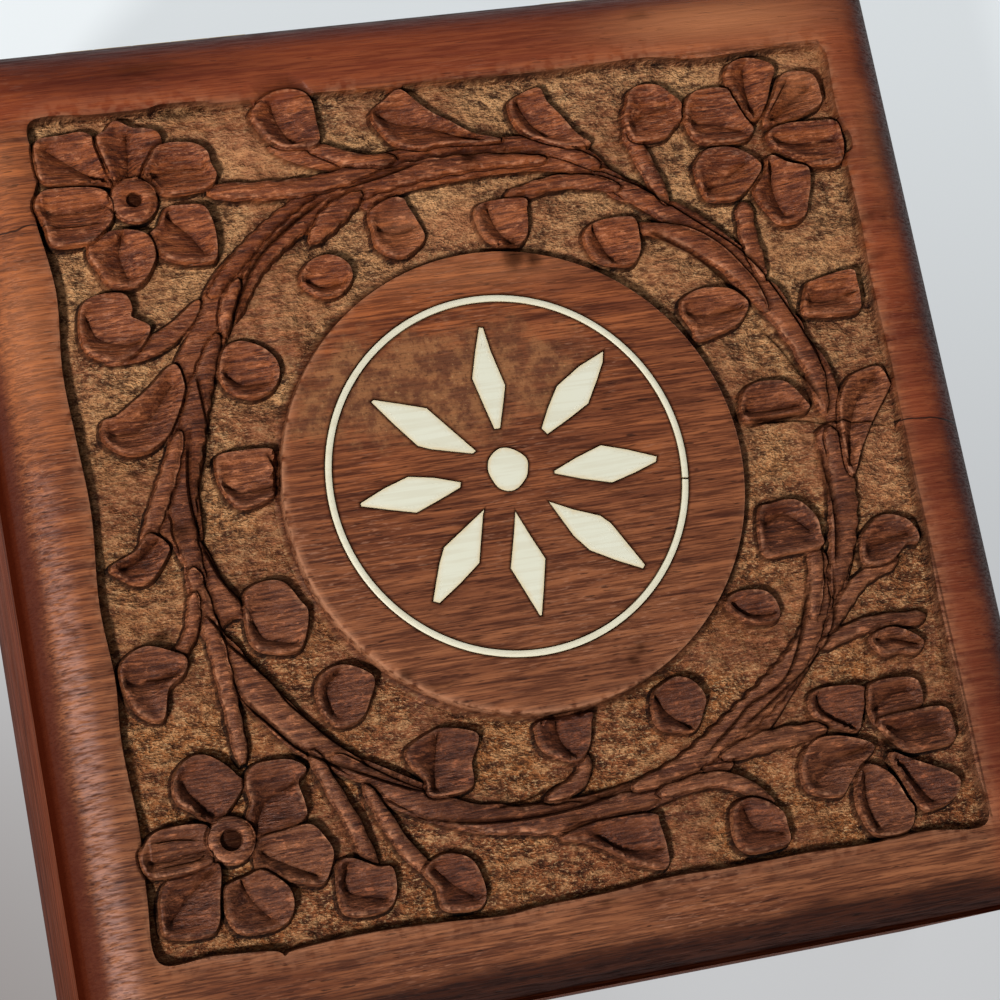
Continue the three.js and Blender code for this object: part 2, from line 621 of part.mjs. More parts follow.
const hingeSide = boxWidth / 2 - hingeInset - leafWidth / 2;
const hinges = { hinge_left: -hingeSide, hinge_right: hingeSide };

// The lid plank: rounded, sunk round the carving, pocketed for the inlay and seated for the hinges
function lidBoard() {
  const half = fieldSide / 2;
  const top = boxHeight + overrun;
  const sunk = ontoLid(block([-half, -half, groundLevel], [half, half, top]));
  const moatShape = discShape(discRadius + grooveWidth, discCentreX, discCentreY);
  const moat = prism(moatShape, groundLevel - grooveDepth, top, discSteps);
  const disc = prism(discShape(discRadius, discCentreX, discCentreY), rootLevel, boxHeight, discSteps);
  const carved = lidBlock().subtract(sunk).add(ontoLid(carving()));
  let board = carved.subtract(moat).add(disc).subtract(ringPocket(top));
  for (const [name, shape] of Object.entries(inlayShapes(inlayClearance))) {
    board = board.subtract(prism(shape, inlayFloor, top, stepsFor(name)));
  }
  for (const hingeX of Object.values(hinges)) {
    board = board.subtract(hingeSeat(hingeX, true));
  }
  return board;
}

const body = new THREE.Group();
const lid = new THREE.Group();

const boards = bodyBoards();
for (const hingeX of Object.values(hinges)) {
  boards.back_board = boards.back_board.subtract(hingeSeat(hingeX, false));
}
for (const [name, solid] of Object.entries(boards)) {
  body.add(meshOf(name, solid, wood));
}

lid.add(meshOf("lid_board", lidBoard(), lidWood));
for (const [name, solid] of Object.entries(inlayPieces())) {
  lid.add(meshOf(name, solid, bone));
}

for (const [name, hingeX] of Object.entries(hinges)) {
  body.add(meshOf(`${name}_fixed_leaf`, hingeLeaf(hingeX, false), brass));
  lid.add(meshOf(`${name}_lid_leaf`, hingeLeaf(hingeX, true), brass));
  body.add(meshOf(`${name}_pin`, rod(pinRadius, hingeX - leafWidth / 2, hingeX + leafWidth / 2), brass));
  for (const up of [false, true]) {
    screwPlaces(hingeX, up).forEach((place, i) => {
      const mesh = new THREE.Mesh(screw(0, up), brass);
      mesh.name = `${name}_${up ? "lid" : "fixed"}_screw_${i + 1}`;
      mesh.position.set(...place);
      (up ? lid : body).add(mesh);
    });
  }
}

const box = new THREE.Group();
box.add(body, lid);

export default box;
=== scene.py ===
import math
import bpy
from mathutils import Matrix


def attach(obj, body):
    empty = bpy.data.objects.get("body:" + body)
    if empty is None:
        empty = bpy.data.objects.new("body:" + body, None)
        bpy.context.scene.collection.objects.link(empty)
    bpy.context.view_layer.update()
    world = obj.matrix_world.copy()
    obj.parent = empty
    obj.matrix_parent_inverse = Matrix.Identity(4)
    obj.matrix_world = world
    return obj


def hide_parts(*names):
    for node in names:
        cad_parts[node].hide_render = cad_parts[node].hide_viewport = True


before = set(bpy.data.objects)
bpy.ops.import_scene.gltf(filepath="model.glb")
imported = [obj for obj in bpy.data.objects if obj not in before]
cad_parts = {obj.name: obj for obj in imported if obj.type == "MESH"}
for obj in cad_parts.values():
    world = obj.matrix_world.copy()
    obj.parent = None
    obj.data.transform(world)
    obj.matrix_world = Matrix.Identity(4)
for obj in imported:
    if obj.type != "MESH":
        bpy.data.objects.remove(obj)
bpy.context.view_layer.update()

from types import SimpleNamespace

import bmesh
import bpy
import numpy as np
from mathutils import Matrix, Vector
from mathutils.geometry import delaunay_2d_cdt

# Body boards
# Four sheesham boards make the body: front and back run the full width, and the
# side boards are glued between them. The outside is sanded to soft corners, and
# a rebate round the lower inside edge holds the bottom.
mm = 0.001
box_width, box_depth, body_height = 124.0, 127.0, 40.5
wall, corner_radius, foot_radius = 10.0, 4.0, 3.0
rebate_width, bottom_thickness = 4.0, 5.0
board_arris = 0.22
past = 2


def srgb(red, green, blue):
    """A colour as it is read off a screen, 0 to 255, as the shader's own light values."""
    steps = [c / 255 for c in (red, green, blue)]
    light = [c / 12.92 if c <= 0.04045 else ((c + 0.055) / 1.055) ** 2.4 for c in steps]
    return (*light, 1.0)


class Finish:
    """A material in the making, with the place on the piece that its patterns follow."""

    def __init__(self, name):
        self.material = bpy.data.materials.new(name)
        self.material.use_nodes = True
        self.tree = self.material.node_tree
        self.shader = self.tree.nodes["Principled BSDF"]
        self.where = self.node("TexCoord").outputs["Object"]
        self.colour = None

    def node(self, kind, inputs=None, **settings):
        """Adds a shader node, with settings and with inputs that are values or other nodes' sockets."""
        made = self.tree.nodes.new("ShaderNode" + kind)
        for key, value in settings.items():
            setattr(made, key, value)
        for key, value in (inputs or {}).items():
            self.feed(made, key, value)
        return made

    def feed(self, made, key, value):
        if isinstance(value, bpy.types.NodeSocket):
            self.tree.links.new(value, made.inputs[key])
        else:
            made.inputs[key].default_value = value

    def maths(self, operation, first, second=0.0, third=0.0):
        return self.node("Math", {0: first, 1: second, 2: third}, operation=operation).outputs[0]

    def times(self, first, *others):
        for other in others:
            first = self.maths("MULTIPLY", first, other)
        return first

    def plus(self, first, *others):
        for other in others:
            first = self.maths("ADD", first, other)
        return first

    def most(self, first, second):
        return self.maths("MAXIMUM", first, second)

    def step(self, value, low, high):
        """0 below low, 1 above high, and smooth between."""
        return self.node("MapRange", {"Value": value, "From Min": low, "From Max": high},
                         interpolation_type="SMOOTHSTEP").outputs["Result"]

    def scaled(self, value, low, high, start=0.0, end=1.0):
        """A value that goes from start to end as one that goes from low to high."""
        return self.node("MapRange", {"Value": value, "From Min": start, "From Max": end,
                                      "To Min": low, "To Max": high}).outputs["Result"]

    def between(self, share, first, second):
        """Two values mixed."""
        return self.node("Mix", {0: share, 2: first, 3: second}, data_type="FLOAT").outputs[0]

    def apart(self):
        """Where a point lies on the piece, as x, y and z."""
        return self.node("SeparateXYZ", {"Vector": self.where}).outputs[:3]

    def away(self, place):
        """How far a point lies from a place."""
        return self.node("VectorMath", {0: self.where, 1: place}, operation="DISTANCE").outputs["Value"]

    def stretched(self, scale, turn=0.0, shift=(0, 0, 0)):
        """The places of a pattern that is drawn out along each axis where its scale is under 1."""
        return self.node("Mapping", {"Vector": self.where, "Location": shift, "Rotation": (0, 0, turn),
                                     "Scale": scale}).outputs[0]

    def noise(self, scale, detail=3.0, rough=0.55, twist=0.0, place=None):
        return self.node("TexNoise", {"Vector": place or self.where, "Scale": scale, "Detail": detail,
                                      "Roughness": rough, "Distortion": twist}).outputs["Fac"]

    def drift(self, reach, scale, detail=3.0, rough=0.55):
        """A length that wanders over the piece, as much below nothing as above it."""
        return self.maths("MULTIPLY_ADD", self.noise(scale, detail, rough), reach, -reach / 2)

    def mix(self, share, first, second, blend="MIX"):
        """Two colours mixed; share, first and second are values or sockets."""
        mixed = self.node("Mix", {0: share, 6: first, 7: second}, data_type="RGBA", blend_type=blend)
        return mixed.outputs[2]

    def spotted(self, colour, *rows):
        """A colour with others over it, each as far as its pattern has gone from one value to another."""
        for pattern, start, end, share, other in rows:
            colour = self.mix(self.times(self.step(pattern, start, end), share), colour, other)
        return colour

    def lay(self, colour, *shares, blend="MIX"):
        """Lays a colour over what is there, as far as the shares multiplied say."""
        self.colour = self.mix(self.times(*shares), self.colour, colour, blend)

    def close(self, rough, specular=None, metallic=None, **bump):
        """Joins the colour, the roughness, the gloss and the surface's relief to the shader."""
        for key, value in (("Base Color", self.colour), ("Roughness", rough),
                           ("Specular IOR Level", specular), ("Metallic", metallic)):
            if value is not None:
                self.feed(self.shader, key, value)
        if bump:
            relief = {key.title(): value for key, value in bump.items() if key != "invert"}
            made = self.node("Bump", relief, invert=bump.get("invert", False))
            self.feed(self.shader, "Normal", made.outputs[0])
        return self.material


def grain(wood, axis, shift, deep=1, fine=2700):
    """Sheesham's grain along an axis: broad figure, streaks, fine fibres and open pores, each 0 to 1."""
    layers = ((0.1, 110, 4, 0.55, 0.5, 0.32, 0.68), (0.035, 620, 4, 0.6, 0.2, 0.34, 0.66),
              (0.05, fine, 3, 0.65, 0, 0.42, 0.62), (0.12, 3400, 1, 0.5, 0, 0.68, 0.76))
    for along, scale, detail, rough, twist, low, high in layers:
        drawn_out = tuple(along if letter == axis else deep if letter == "z" else 1 for letter in "xyz")
        place = wood.stretched(drawn_out, shift=shift)
        yield wood.step(wood.noise(scale, detail, rough, twist, place), low, high)


def polished_wood(name, axis, shift, dark, middle, light):
    """Waxed sheesham, darker or lighter by its figure, with fibres and pores, and with painted shade that
    darkens it near the table.
    """
    wood = Finish(name)
    figure, streak, fibre, pore = grain(wood, axis, shift)
    wood.colour = wood.mix(figure, dark, middle)
    wood.lay(light, streak, 0.7)
    wood.lay(srgb(140, 104, 92), fibre, 0.5, blend="MULTIPLY")
    wood.lay(srgb(44, 18, 10), pore, 0.6)
    # painted shade: the wood is darker near the table
    low = wood.step(wood.apart()[2], 0.012, 0.002)
    wood.lay(srgb(160, 140, 130), low, 0.6, blend="MULTIPLY")
    return wood.close(wood.scaled(fibre, 0.5, 0.7), specular=0.03, invert=True,
                      height=wood.plus(wood.times(fibre, 0.5), pore), distance=0.00006, strength=0.6)


def only(thing):
    """Makes one object the active and only selected one."""
    for other in bpy.context.selected_objects:
        other.select_set(False)
    thing.select_set(True)
    bpy.context.view_layer.objects.active = thing


def new_object(name, mesh):
    made = bpy.data.objects.new(name, mesh)
    bpy.context.collection.objects.link(made)
    return made


def new_block(low, high, name="block"):
    """A block from one corner to the other, in millimetres, the active and only selected object."""
    centre = [(a + b) / 2 * mm for a, b in zip(low, high)]
    bpy.ops.mesh.primitive_cube_add(size=1, location=centre)
    made = bpy.context.object
    only(made)
    made.name = made.data.name = name
    made.scale = [(b - a) * mm for a, b in zip(low, high)]
    bpy.ops.object.transform_apply(location=True, rotation=True, scale=True)
    return made


def round_edges(thing, wanted, radius, segments):
    """Rounds the edges whose two ends, in millimetres, pass a test."""
    only(thing)
    bpy.ops.object.mode_set(mode="EDIT")
    bpy.ops.mesh.select_mode(type="EDGE")
    bpy.ops.mesh.select_all(action="DESELECT")
    shape = bmesh.from_edit_mesh(thing.data)
    for edge in shape.edges:
        first, second = (v.co / mm for v in edge.verts)
        edge.select_set(bool(wanted(first, second)))
    bmesh.update_edit_mesh(thing.data)
    bpy.ops.mesh.bevel(offset=radius * mm, segments=segments)
    bpy.ops.object.mode_set(mode="OBJECT")


def cut(thing, low, high, operation="DIFFERENCE"):
    """Cuts the block between two corners out of a solid, or keeps only what lies within it."""
    block = new_block(low, high)
    only(thing)
    made = thing.modifiers.new("cut", "BOOLEAN")
    made.operation, made.solver, made.object = operation, "EXACT", block
    bpy.ops.object.modifier_apply(modifier=made.name)
    bpy.data.objects.remove(block)


def soften(thing, width):
    """A small worn arris on every sharp edge, then smooth shading."""
    only(thing)
    arris = thing.modifiers.new("arris", "BEVEL")
    arris.width, arris.segments, arris.limit_method = width * mm, 2, "ANGLE"
    arris.angle_limit = math.radians(40)
    arris.use_clamp_overlap = True
    bpy.ops.object.modifier_apply(modifier=arris.name)
    bpy.ops.object.shade_smooth_by_angle(angle=math.radians(35))


def finish_piece(thing, material, body, node):
    thing.data.materials.clear()
    thing.data.materials.append(material)
    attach(thing, body)
    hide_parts(node)


right, back = box_width / 2, box_depth / 2
inner_right, inner_back = right - wall, back - wall
rebate_right, rebate_back = inner_right + rebate_width, inner_back + rebate_width
shell = new_block((-right, -back, 0), (right, back, body_height), "body_shell")
round_edges(shell, lambda a, b: abs(a.z - b.z) > 1, corner_radius, 8)
round_edges(shell, lambda a, b: a.z < 0.01 and b.z < 0.01, foot_radius, 6)
cut(shell, (-inner_right, -inner_back, -past), (inner_right, inner_back, body_height + past))
cut(shell, (-rebate_right, -rebate_back, -past), (rebate_right, rebate_back, bottom_thickness))

side_wood = polished_wood("body_sheesham", "x", (0.31, 0.12, 0.47),
                          srgb(62, 29, 18), srgb(88, 45, 28), srgb(112, 62, 38))
end_wood = polished_wood("side_sheesham", "y", (0.11, 0.42, 0.27),
                         srgb(64, 27, 15), srgb(98, 44, 25), srgb(126, 64, 38))

hinge_spacing, leaf_width, leaf_reach, leaf_thickness, leaf_gap = 66.0, 25.0, 9.0, 1.0, 0.3
seat_clearance = 0.3
seat_depth = leaf_thickness + leaf_gap / 2


def cut_seats(thing, low, high):
    """Cuts the two seats of the hinges' leaves into the back edge, between two heights."""
    half, front = leaf_width / 2 + seat_clearance, back - leaf_reach - seat_clearance
    for centre in (-hinge_spacing / 2, hinge_spacing / 2):
        cut(thing, (centre - half, front, low), (centre + half, back + past, high))


# each board is what a copy of the shell shares with a block: name, its two sides in x and y, its wood
past_right, past_back = right + 1, back + 1
for name, (low_x, high_x), (low_y, high_y), wood in (
        ("front", (-past_right, past_right), (-past_back, -inner_back), side_wood),
        ("back", (-past_right, past_right), (inner_back, past_back), side_wood),
        ("left", (-past_right, 0), (-inner_back, inner_back), end_wood),
        ("right", (0, past_right), (-inner_back, inner_back), end_wood)):
    board = new_object(name + "_panel", shell.data.copy())
    cut(board, (low_x, low_y, -1), (high_x, high_y, body_height + 1), "INTERSECT")
    if name == "back":
        cut_seats(board, body_height - seat_depth, body_height + past)
    soften(board, board_arris)
    finish_piece(board, wood, "box", name + "_board")
bpy.data.objects.remove(shell)

# Bottom board
# A plain sheesham panel, dropped into the rebate under the four walls and glued.
# It is thinner than the walls, and its wood is left a little lighter.
bottom_clearance, bottom_arris = 0.3, 0.3
bottom_right, bottom_back = rebate_right - bottom_clearance, rebate_back - bottom_clearance
bottom = new_block((-bottom_right, -bottom_back, 0), (bottom_right, bottom_back, bottom_thickness),
                   "bottom_panel")
soften(bottom, bottom_arris)
bottom_wood = polished_wood("bottom_sheesham", "x", (0.71, 0.22, 0.07),
                            srgb(92, 50, 34), srgb(124, 74, 48), srgb(150, 96, 62))
finish_piece(bottom, bottom_wood, "box", "bottom_board")

# Hinges
# Two small pressed brass butt hinges, let into the back board and the lid, each
# with five knuckles on a brass pin and four countersunk screws. Their solids
# stay as they are, and get old brass, clouded and finely scratched.
brass = Finish("worn_brass")
cloud = brass.noise(180, 4)
scratch = brass.noise(4000, 2, place=brass.stretched((0.05, 1, 1)))
clouded = brass.node("ValToRGB", {"Fac": cloud})
stops = ((0.35, srgb(120, 88, 40)), (0.55, srgb(190, 150, 78)), (0.7, srgb(212, 176, 104)))
while len(clouded.color_ramp.elements) < len(stops):
    clouded.color_ramp.elements.new(0.5)
for element, (position, shade) in zip(clouded.color_ramp.elements, stops):
    element.position, element.color = position, shade
brass.colour = clouded.outputs["Color"]
brass.close(brass.scaled(cloud, 0.42, 0.24), metallic=1.0, height=scratch, distance=0.00002, strength=0.4)
for name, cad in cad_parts.items():
    if name.startswith("hinge_"):
        cad.data.materials.clear()
        cad.data.materials.append(brass.material)

# Carved lid
# One thick sheesham plank with a pillowed upper edge. Its square field is carved
# with chisel and gouge: ground sunk 1.9 mm, corner flowers, a ring of vine with
# leaves and buds, and an uncut disc in the middle for the inlay.
lid_thickness, roundover = 16.5, 7.7
lid_top = body_height + lid_thickness
field_half, field_turn = 52.2, math.radians(-0.69)
field_x, field_y = -0.2, -0.13
ground_level = -1.9

# Outlines below are in the carver's squares, one 104th of the field's side, x to
# the right and y to the back from its centre: outline, then the line of its valley.
square = 2 * field_half / 104

petals = [
    ([(-51.9, 49.4), (-49, 49.9), (-45.4, 49.8), (-44.1, 46), (-43.3, 43.3), (-44.6, 43.3), (-48.1, 43.5),
      (-51.6, 44.2), (-52.3, 46.3)], [(-50.3, 48.2), (-46.6, 45.2), (-44, 43.2)]),
    ([(-44.4, 49.2), (-43.1, 50.1), (-41.9, 51.1), (-40, 50), (-38.1, 49.7), (-36.9, 49.1), (-36.6, 47.5),
      (-38.4, 46), (-39.8, 44.2), (-40.7, 43.1), (-42.8, 43.1), (-43.9, 46.3)], [(-40.6, 49.3),
      (-40.8, 46.5), (-41.2, 43.8)]),
    ([(-38.1, 46), (-37.2, 47.2), (-35.4, 47.6), (-32.5, 47.2), (-31.1, 46), (-30.9, 44.5), (-30.4, 43),
      (-31, 41.9), (-32.2, 41.3), (-35.4, 41), (-37.5, 41.3), (-38.5, 42.6), (-39.2, 44.2)], [(-31.9, 44.3),
      (-35, 44.5), (-38.2, 43.6)]),
    ([(-37.3, 39.2), (-35.4, 39.4), (-32.8, 39.1), (-31.9, 37.2), (-31.7, 34.8), (-32, 32.5), (-32.8, 31.9),
      (-35.4, 32), (-38.1, 32.9), (-39.2, 34.2), (-39.8, 36), (-38.4, 37.2)], [(-33.4, 33.6), (-35, 36),
      (-37.3, 38.4)]),
    ([(-47.2, 35.7), (-44.8, 36.9), (-42.2, 36.9), (-40.1, 36), (-39.5, 33.6), (-40.4, 31.6), (-41.6, 30.3),
      (-43.4, 29.8), (-45.7, 30.4), (-46.6, 32.2), (-47.5, 33.9)], [(-43.2, 31.2), (-43.8, 34),
      (-43.2, 36.4)]),
    ([(-53.2, 41), (-52.2, 42.8), (-50.1, 43.1), (-46, 42.8), (-44.2, 41.9), (-43.8, 40.1), (-44.2, 38.4),
      (-45.4, 37.2), (-47.5, 35.9), (-51.6, 36), (-52.3, 38.4)], [(-51.6, 40.4), (-48, 40.2),
      (-44.6, 40.6)]),
    ([(38.1, 48.6), (38.9, 50.7), (41.3, 51.3), (44.2, 50.4), (44.8, 49.2), (43.9, 47.5), (42.5, 44.2),
      (41, 43.1), (40.1, 43.6), (39.2, 46)], [(41, 50.2), (40.8, 47), (40.9, 43.9)]),
    ([(45.7, 48.5), (48, 48.9), (50.1, 48.1), (50.6, 45.7), (50.3, 44.2), (47.8, 43.1), (45.4, 42.5),
      (42.6, 42), (42.4, 43.2), (44.2, 46)], [(49.4, 46.8), (46.6, 45), (43.4, 42.8)]),
    ([(44.8, 41.9), (48.4, 41.9), (51.8, 41.6), (52.3, 39.5), (52.2, 37.8), (51.3, 36), (48.1, 36),
      (46, 37.2), (43.9, 38.4), (42.5, 39.5), (42.5, 41)], [(51.3, 39.4), (47.6, 39.3), (43.6, 40)]),
    ([(41.9, 37.8), (44.2, 36.6), (46.6, 35.7), (46.6, 33.6), (45.7, 31), (45.1, 29.5), (43.4, 28.6),
      (41.3, 28.8), (40.1, 30.4), (38.9, 32.8), (39.5, 34.2), (41, 35.7)], [(42.6, 30), (41.8, 33),
      (41.9, 36.8)]),
    ([(33.6, 39.5), (36.6, 39.5), (38.9, 38.4), (40.4, 36.6), (39.2, 34.8), (37.8, 33.6), (36, 32.6),
      (32.8, 32.8), (31.9, 34.2), (31.6, 37.2), (32.5, 38.6)], [(33, 34.4), (35.6, 35.6), (38.8, 37.4)]),
    ([(31.9, 45.7), (33.6, 47.5), (37.5, 47.5), (38.4, 46), (39.5, 43.4), (40.4, 41.6), (38.6, 40.4),
      (34.8, 40.4), (32.5, 41), (31.6, 43.4)], [(32.6, 43.6), (35.6, 43.2), (39, 42)]),
    ([(32.5, -33.6), (33.4, -32.2), (36.6, -32), (39.5, -32.5), (39.8, -33.4), (38.6, -36.6), (37.8, -37.8),
      (34.8, -36.6), (32.8, -35.1)], [(33.7, -32.8), (34.3, -34.9), (37.4, -37.4)]),
    ([(40.1, -33.6), (41.6, -32.2), (46.6, -32.5), (47.2, -35.4), (46, -36.3), (42.5, -36.6),
      (40.4, -37.2)], [(46, -33.6), (43.4, -34), (40.9, -35.6)]),
    ([(41, -37), (45.4, -36.5), (49.8, -36.6), (50.6, -38.8), (50.2, -41), (47.4, -41.4), (44.2, -41.3),
      (41.9, -39.2)], [(49.2, -38.6), (45.8, -38.7), (42, -38.2)]),
    ([(41.6, -41.3), (44.2, -42.5), (49.5, -45.4), (48.9, -47.8), (46, -48.9), (44.2, -48.4),
      (42.5, -44.2)], [(46.2, -48), (44.4, -45.4), (42.4, -42.4)]),
    ([(36.9, -43.1), (38.4, -42.2), (41, -43.9), (42.5, -47.2), (43.1, -48.6), (41.9, -51), (37.8, -51),
      (36.3, -48.4), (36.1, -46)], [(38.3, -50), (37.7, -47), (38, -43.6)]),
    ([(29.8, -41), (31.9, -38.4), (34.8, -38.1), (38.4, -39.2), (39.5, -40.4), (37.2, -42.2), (35.4, -44.2),
      (33.9, -45.4), (30.1, -44.2)], [(31.7, -43.4), (34.6, -41), (38.6, -40)]),
    ([(-47.5, -31.9), (-46.9, -30.1), (-45.1, -28.6), (-43.1, -28.6), (-41, -30.1), (-39.8, -31.6),
      (-39.2, -32.5), (-41, -34.8), (-42.8, -36.3), (-44.2, -36.3), (-45.7, -34.8), (-47.2, -33.6)],
      [(-46.3, -31.4), (-45, -33.8), (-43.5, -35.8)]),
    ([(-38.9, -32.5), (-37.8, -30.7), (-35.4, -30.4), (-33.1, -30.7), (-31.6, -32), (-32.8, -33.4),
      (-32.4, -36), (-32.8, -37.8), (-36.6, -39.2), (-38.6, -39.2), (-39.5, -37.2), (-38.6, -34.8)],
      [(-32.9, -33.2), (-36.6, -35), (-38.6, -38)]),
    ([(-38.4, -39.5), (-35.4, -38.9), (-32.2, -38.6), (-30.7, -40.4), (-30, -42.2), (-30.7, -44.2),
      (-31.9, -45.7), (-34.2, -45.1), (-37.2, -43.9), (-39.2, -42.5)], [(-32.4, -44.6), (-35.2, -42.9),
      (-38.2, -41)]),
    ([(-43.1, -44.2), (-40.4, -43.4), (-38.6, -43.1), (-36, -45.4), (-35.7, -47.8), (-36.9, -49.5),
      (-39.5, -50.1), (-42.2, -49.8), (-43.4, -48.1), (-43.5, -45.7)], [(-38.5, -48.6), (-40.2, -46.4),
      (-41.2, -44.1)]),
    ([(-50.7, -43.6), (-48.6, -41.9), (-44.2, -41.3), (-43.6, -42.5), (-44.2, -45.4), (-44.8, -48.4),
      (-46.3, -49.5), (-50.7, -48.9), (-51.3, -46.9)], [(-50.2, -47.4), (-47.6, -44.8), (-44.6, -42.2)]),
    ([(-52.2, -38.4), (-50.1, -36.6), (-44.8, -36.6), (-43.9, -38.4), (-44.2, -40.4), (-44.8, -41.3),
      (-48.6, -41.9), (-51.9, -41.6), (-52.6, -39.5)], [(-51.6, -40.2), (-48, -39.8), (-44.8, -39.6)]),
]

buds = [
    ([(-9.1, 37.5), (-7.4, 37.2), (-7.1, 36.3), (-6.2, 34.2), (-5.6, 31.9), (-7.4, 30.4), (-8.8, 29.8),
      (-10.6, 30.4), (-11.8, 31.6), (-11.9, 33.6), (-11.9, 36)], [(-11.2, 33.8), (-8.6, 33.2),
      (-6.4, 33.6)]),
    ([(2.2, 35.4), (8, 35.7), (8.2, 34), (7.9, 31.6), (7, 30.1), (5, 29.4), (2.9, 30.4), (1.8, 32.5)],
      [(3.4, 35), (4.2, 32.4), (5.6, 30.2)]),
    ([(15.2, 30), (16.5, 31.3), (19, 31.8), (22, 31.5), (22.3, 29), (22, 27), (20.5, 25.5), (17, 26),
      (15.5, 27.5)], [(16.6, 30.8), (17.4, 28.8), (18.4, 26.2)]),
    ([(26.6, 20.1), (29.2, 21.1), (32.5, 20.7), (34.2, 19.5), (34.8, 18.1), (33, 16), (30, 15),
      (27.5, 14.5), (26.9, 16.3), (26, 18.4)], [(26.7, 18.2), (30, 17.8), (34, 18.2)]),
    ([(31.8, 6.5), (33.6, 7.9), (36, 8), (38, 7.4), (39.8, 5), (40, 3.7), (36, 3.4), (31.6, 3.4)],
      [(32, 4.6), (35.6, 4.4), (39.2, 4.6)]),
    ([(31, -8.5), (32.5, -7.9), (34.8, -7.6), (36.6, -8.2), (38.2, -10.3), (38.4, -12.4), (38.2, -14),
      (34, -14.3), (30.5, -14)], [(31.6, -10.2), (34.6, -9.3), (37.4, -11.6)]),
    ([(24.3, -19.5), (26, -18.4), (29, -18.6), (30.5, -20), (30.6, -22.3), (28, -22.6), (25.8, -21.5)],
      [(25.2, -19.8), (27, -21.4), (30.2, -21.6)]),
    ([(13.8, -28.6), (15.9, -27.8), (17.9, -28.6), (19.1, -30.7), (18.5, -32.5), (17.1, -34.5),
      (14.4, -34.2), (12.6, -33.4), (12.3, -31), (12.8, -29.4)], [(13, -29.8), (14.4, -32), (16.7, -34.2)]),
    ([(-2, -30.6), (4.1, -30.3), (4.1, -31.9), (3.5, -34.2), (2.4, -35.7), (1.2, -36), (-0.9, -35.1),
      (-2.4, -33.9), (-2.8, -32.2)], [(0, -30.9), (0.2, -33), (1.3, -35.4)]),
    ([(-16.2, -30.1), (-14.1, -29.7), (-10.6, -30.7), (-10.3, -31.9), (-11.5, -34.2), (-12.1, -37.2),
      (-17, -37.5), (-17.4, -35.4), (-18.8, -33.4), (-19, -31.6)], [(-14.9, -30.4), (-15.7, -33.4),
      (-16.4, -36.8)]),
    ([(-28.6, -22.5), (-27.2, -20.7), (-24.8, -20.3), (-22.2, -21.6), (-21.6, -22.8), (-22.5, -24.8),
      (-23.9, -26.9), (-26.6, -27.5), (-28.4, -25.4)], [(-25.6, -20.9), (-27.3, -22.9), (-27.2, -25.8)]),
    ([(-35.1, -9.7), (-32.5, -8.8), (-30.4, -9.4), (-28.9, -11.8), (-28.2, -13.2), (-28.9, -15.9),
      (-30.1, -17.6), (-33, -17.5), (-35.4, -16.2), (-35.7, -12.4)], [(-34.9, -13.6), (-33.6, -15.6),
      (-30.2, -16.6)]),
    ([(-35.7, 7.4), (-32.5, 7.6), (-29.5, 7.4), (-28.8, 6.2), (-29, 4.1), (-29.8, 1.8), (-33.9, 0.6),
      (-35.9, 3), (-36.3, 6)], [(-35.6, 3.6), (-33, 2.6), (-29.8, 3)]),
    ([(-33, 20.5), (-31, 21.3), (-28.5, 20.3), (-26.9, 18.5), (-26.8, 16.5), (-28, 14.8), (-30.5, 14.1),
      (-33, 15.2), (-34, 17.5)], [(-33.2, 17.3), (-31, 16), (-28, 16)]),
    ([(-22, 28.5), (-20.5, 30.5), (-18, 31), (-16, 29.8), (-15.6, 28), (-17, 26.3), (-19.5, 25.9),
      (-21.5, 27)], [(-21.3, 28.2), (-19.4, 27.2), (-16.8, 27.6)]),
]

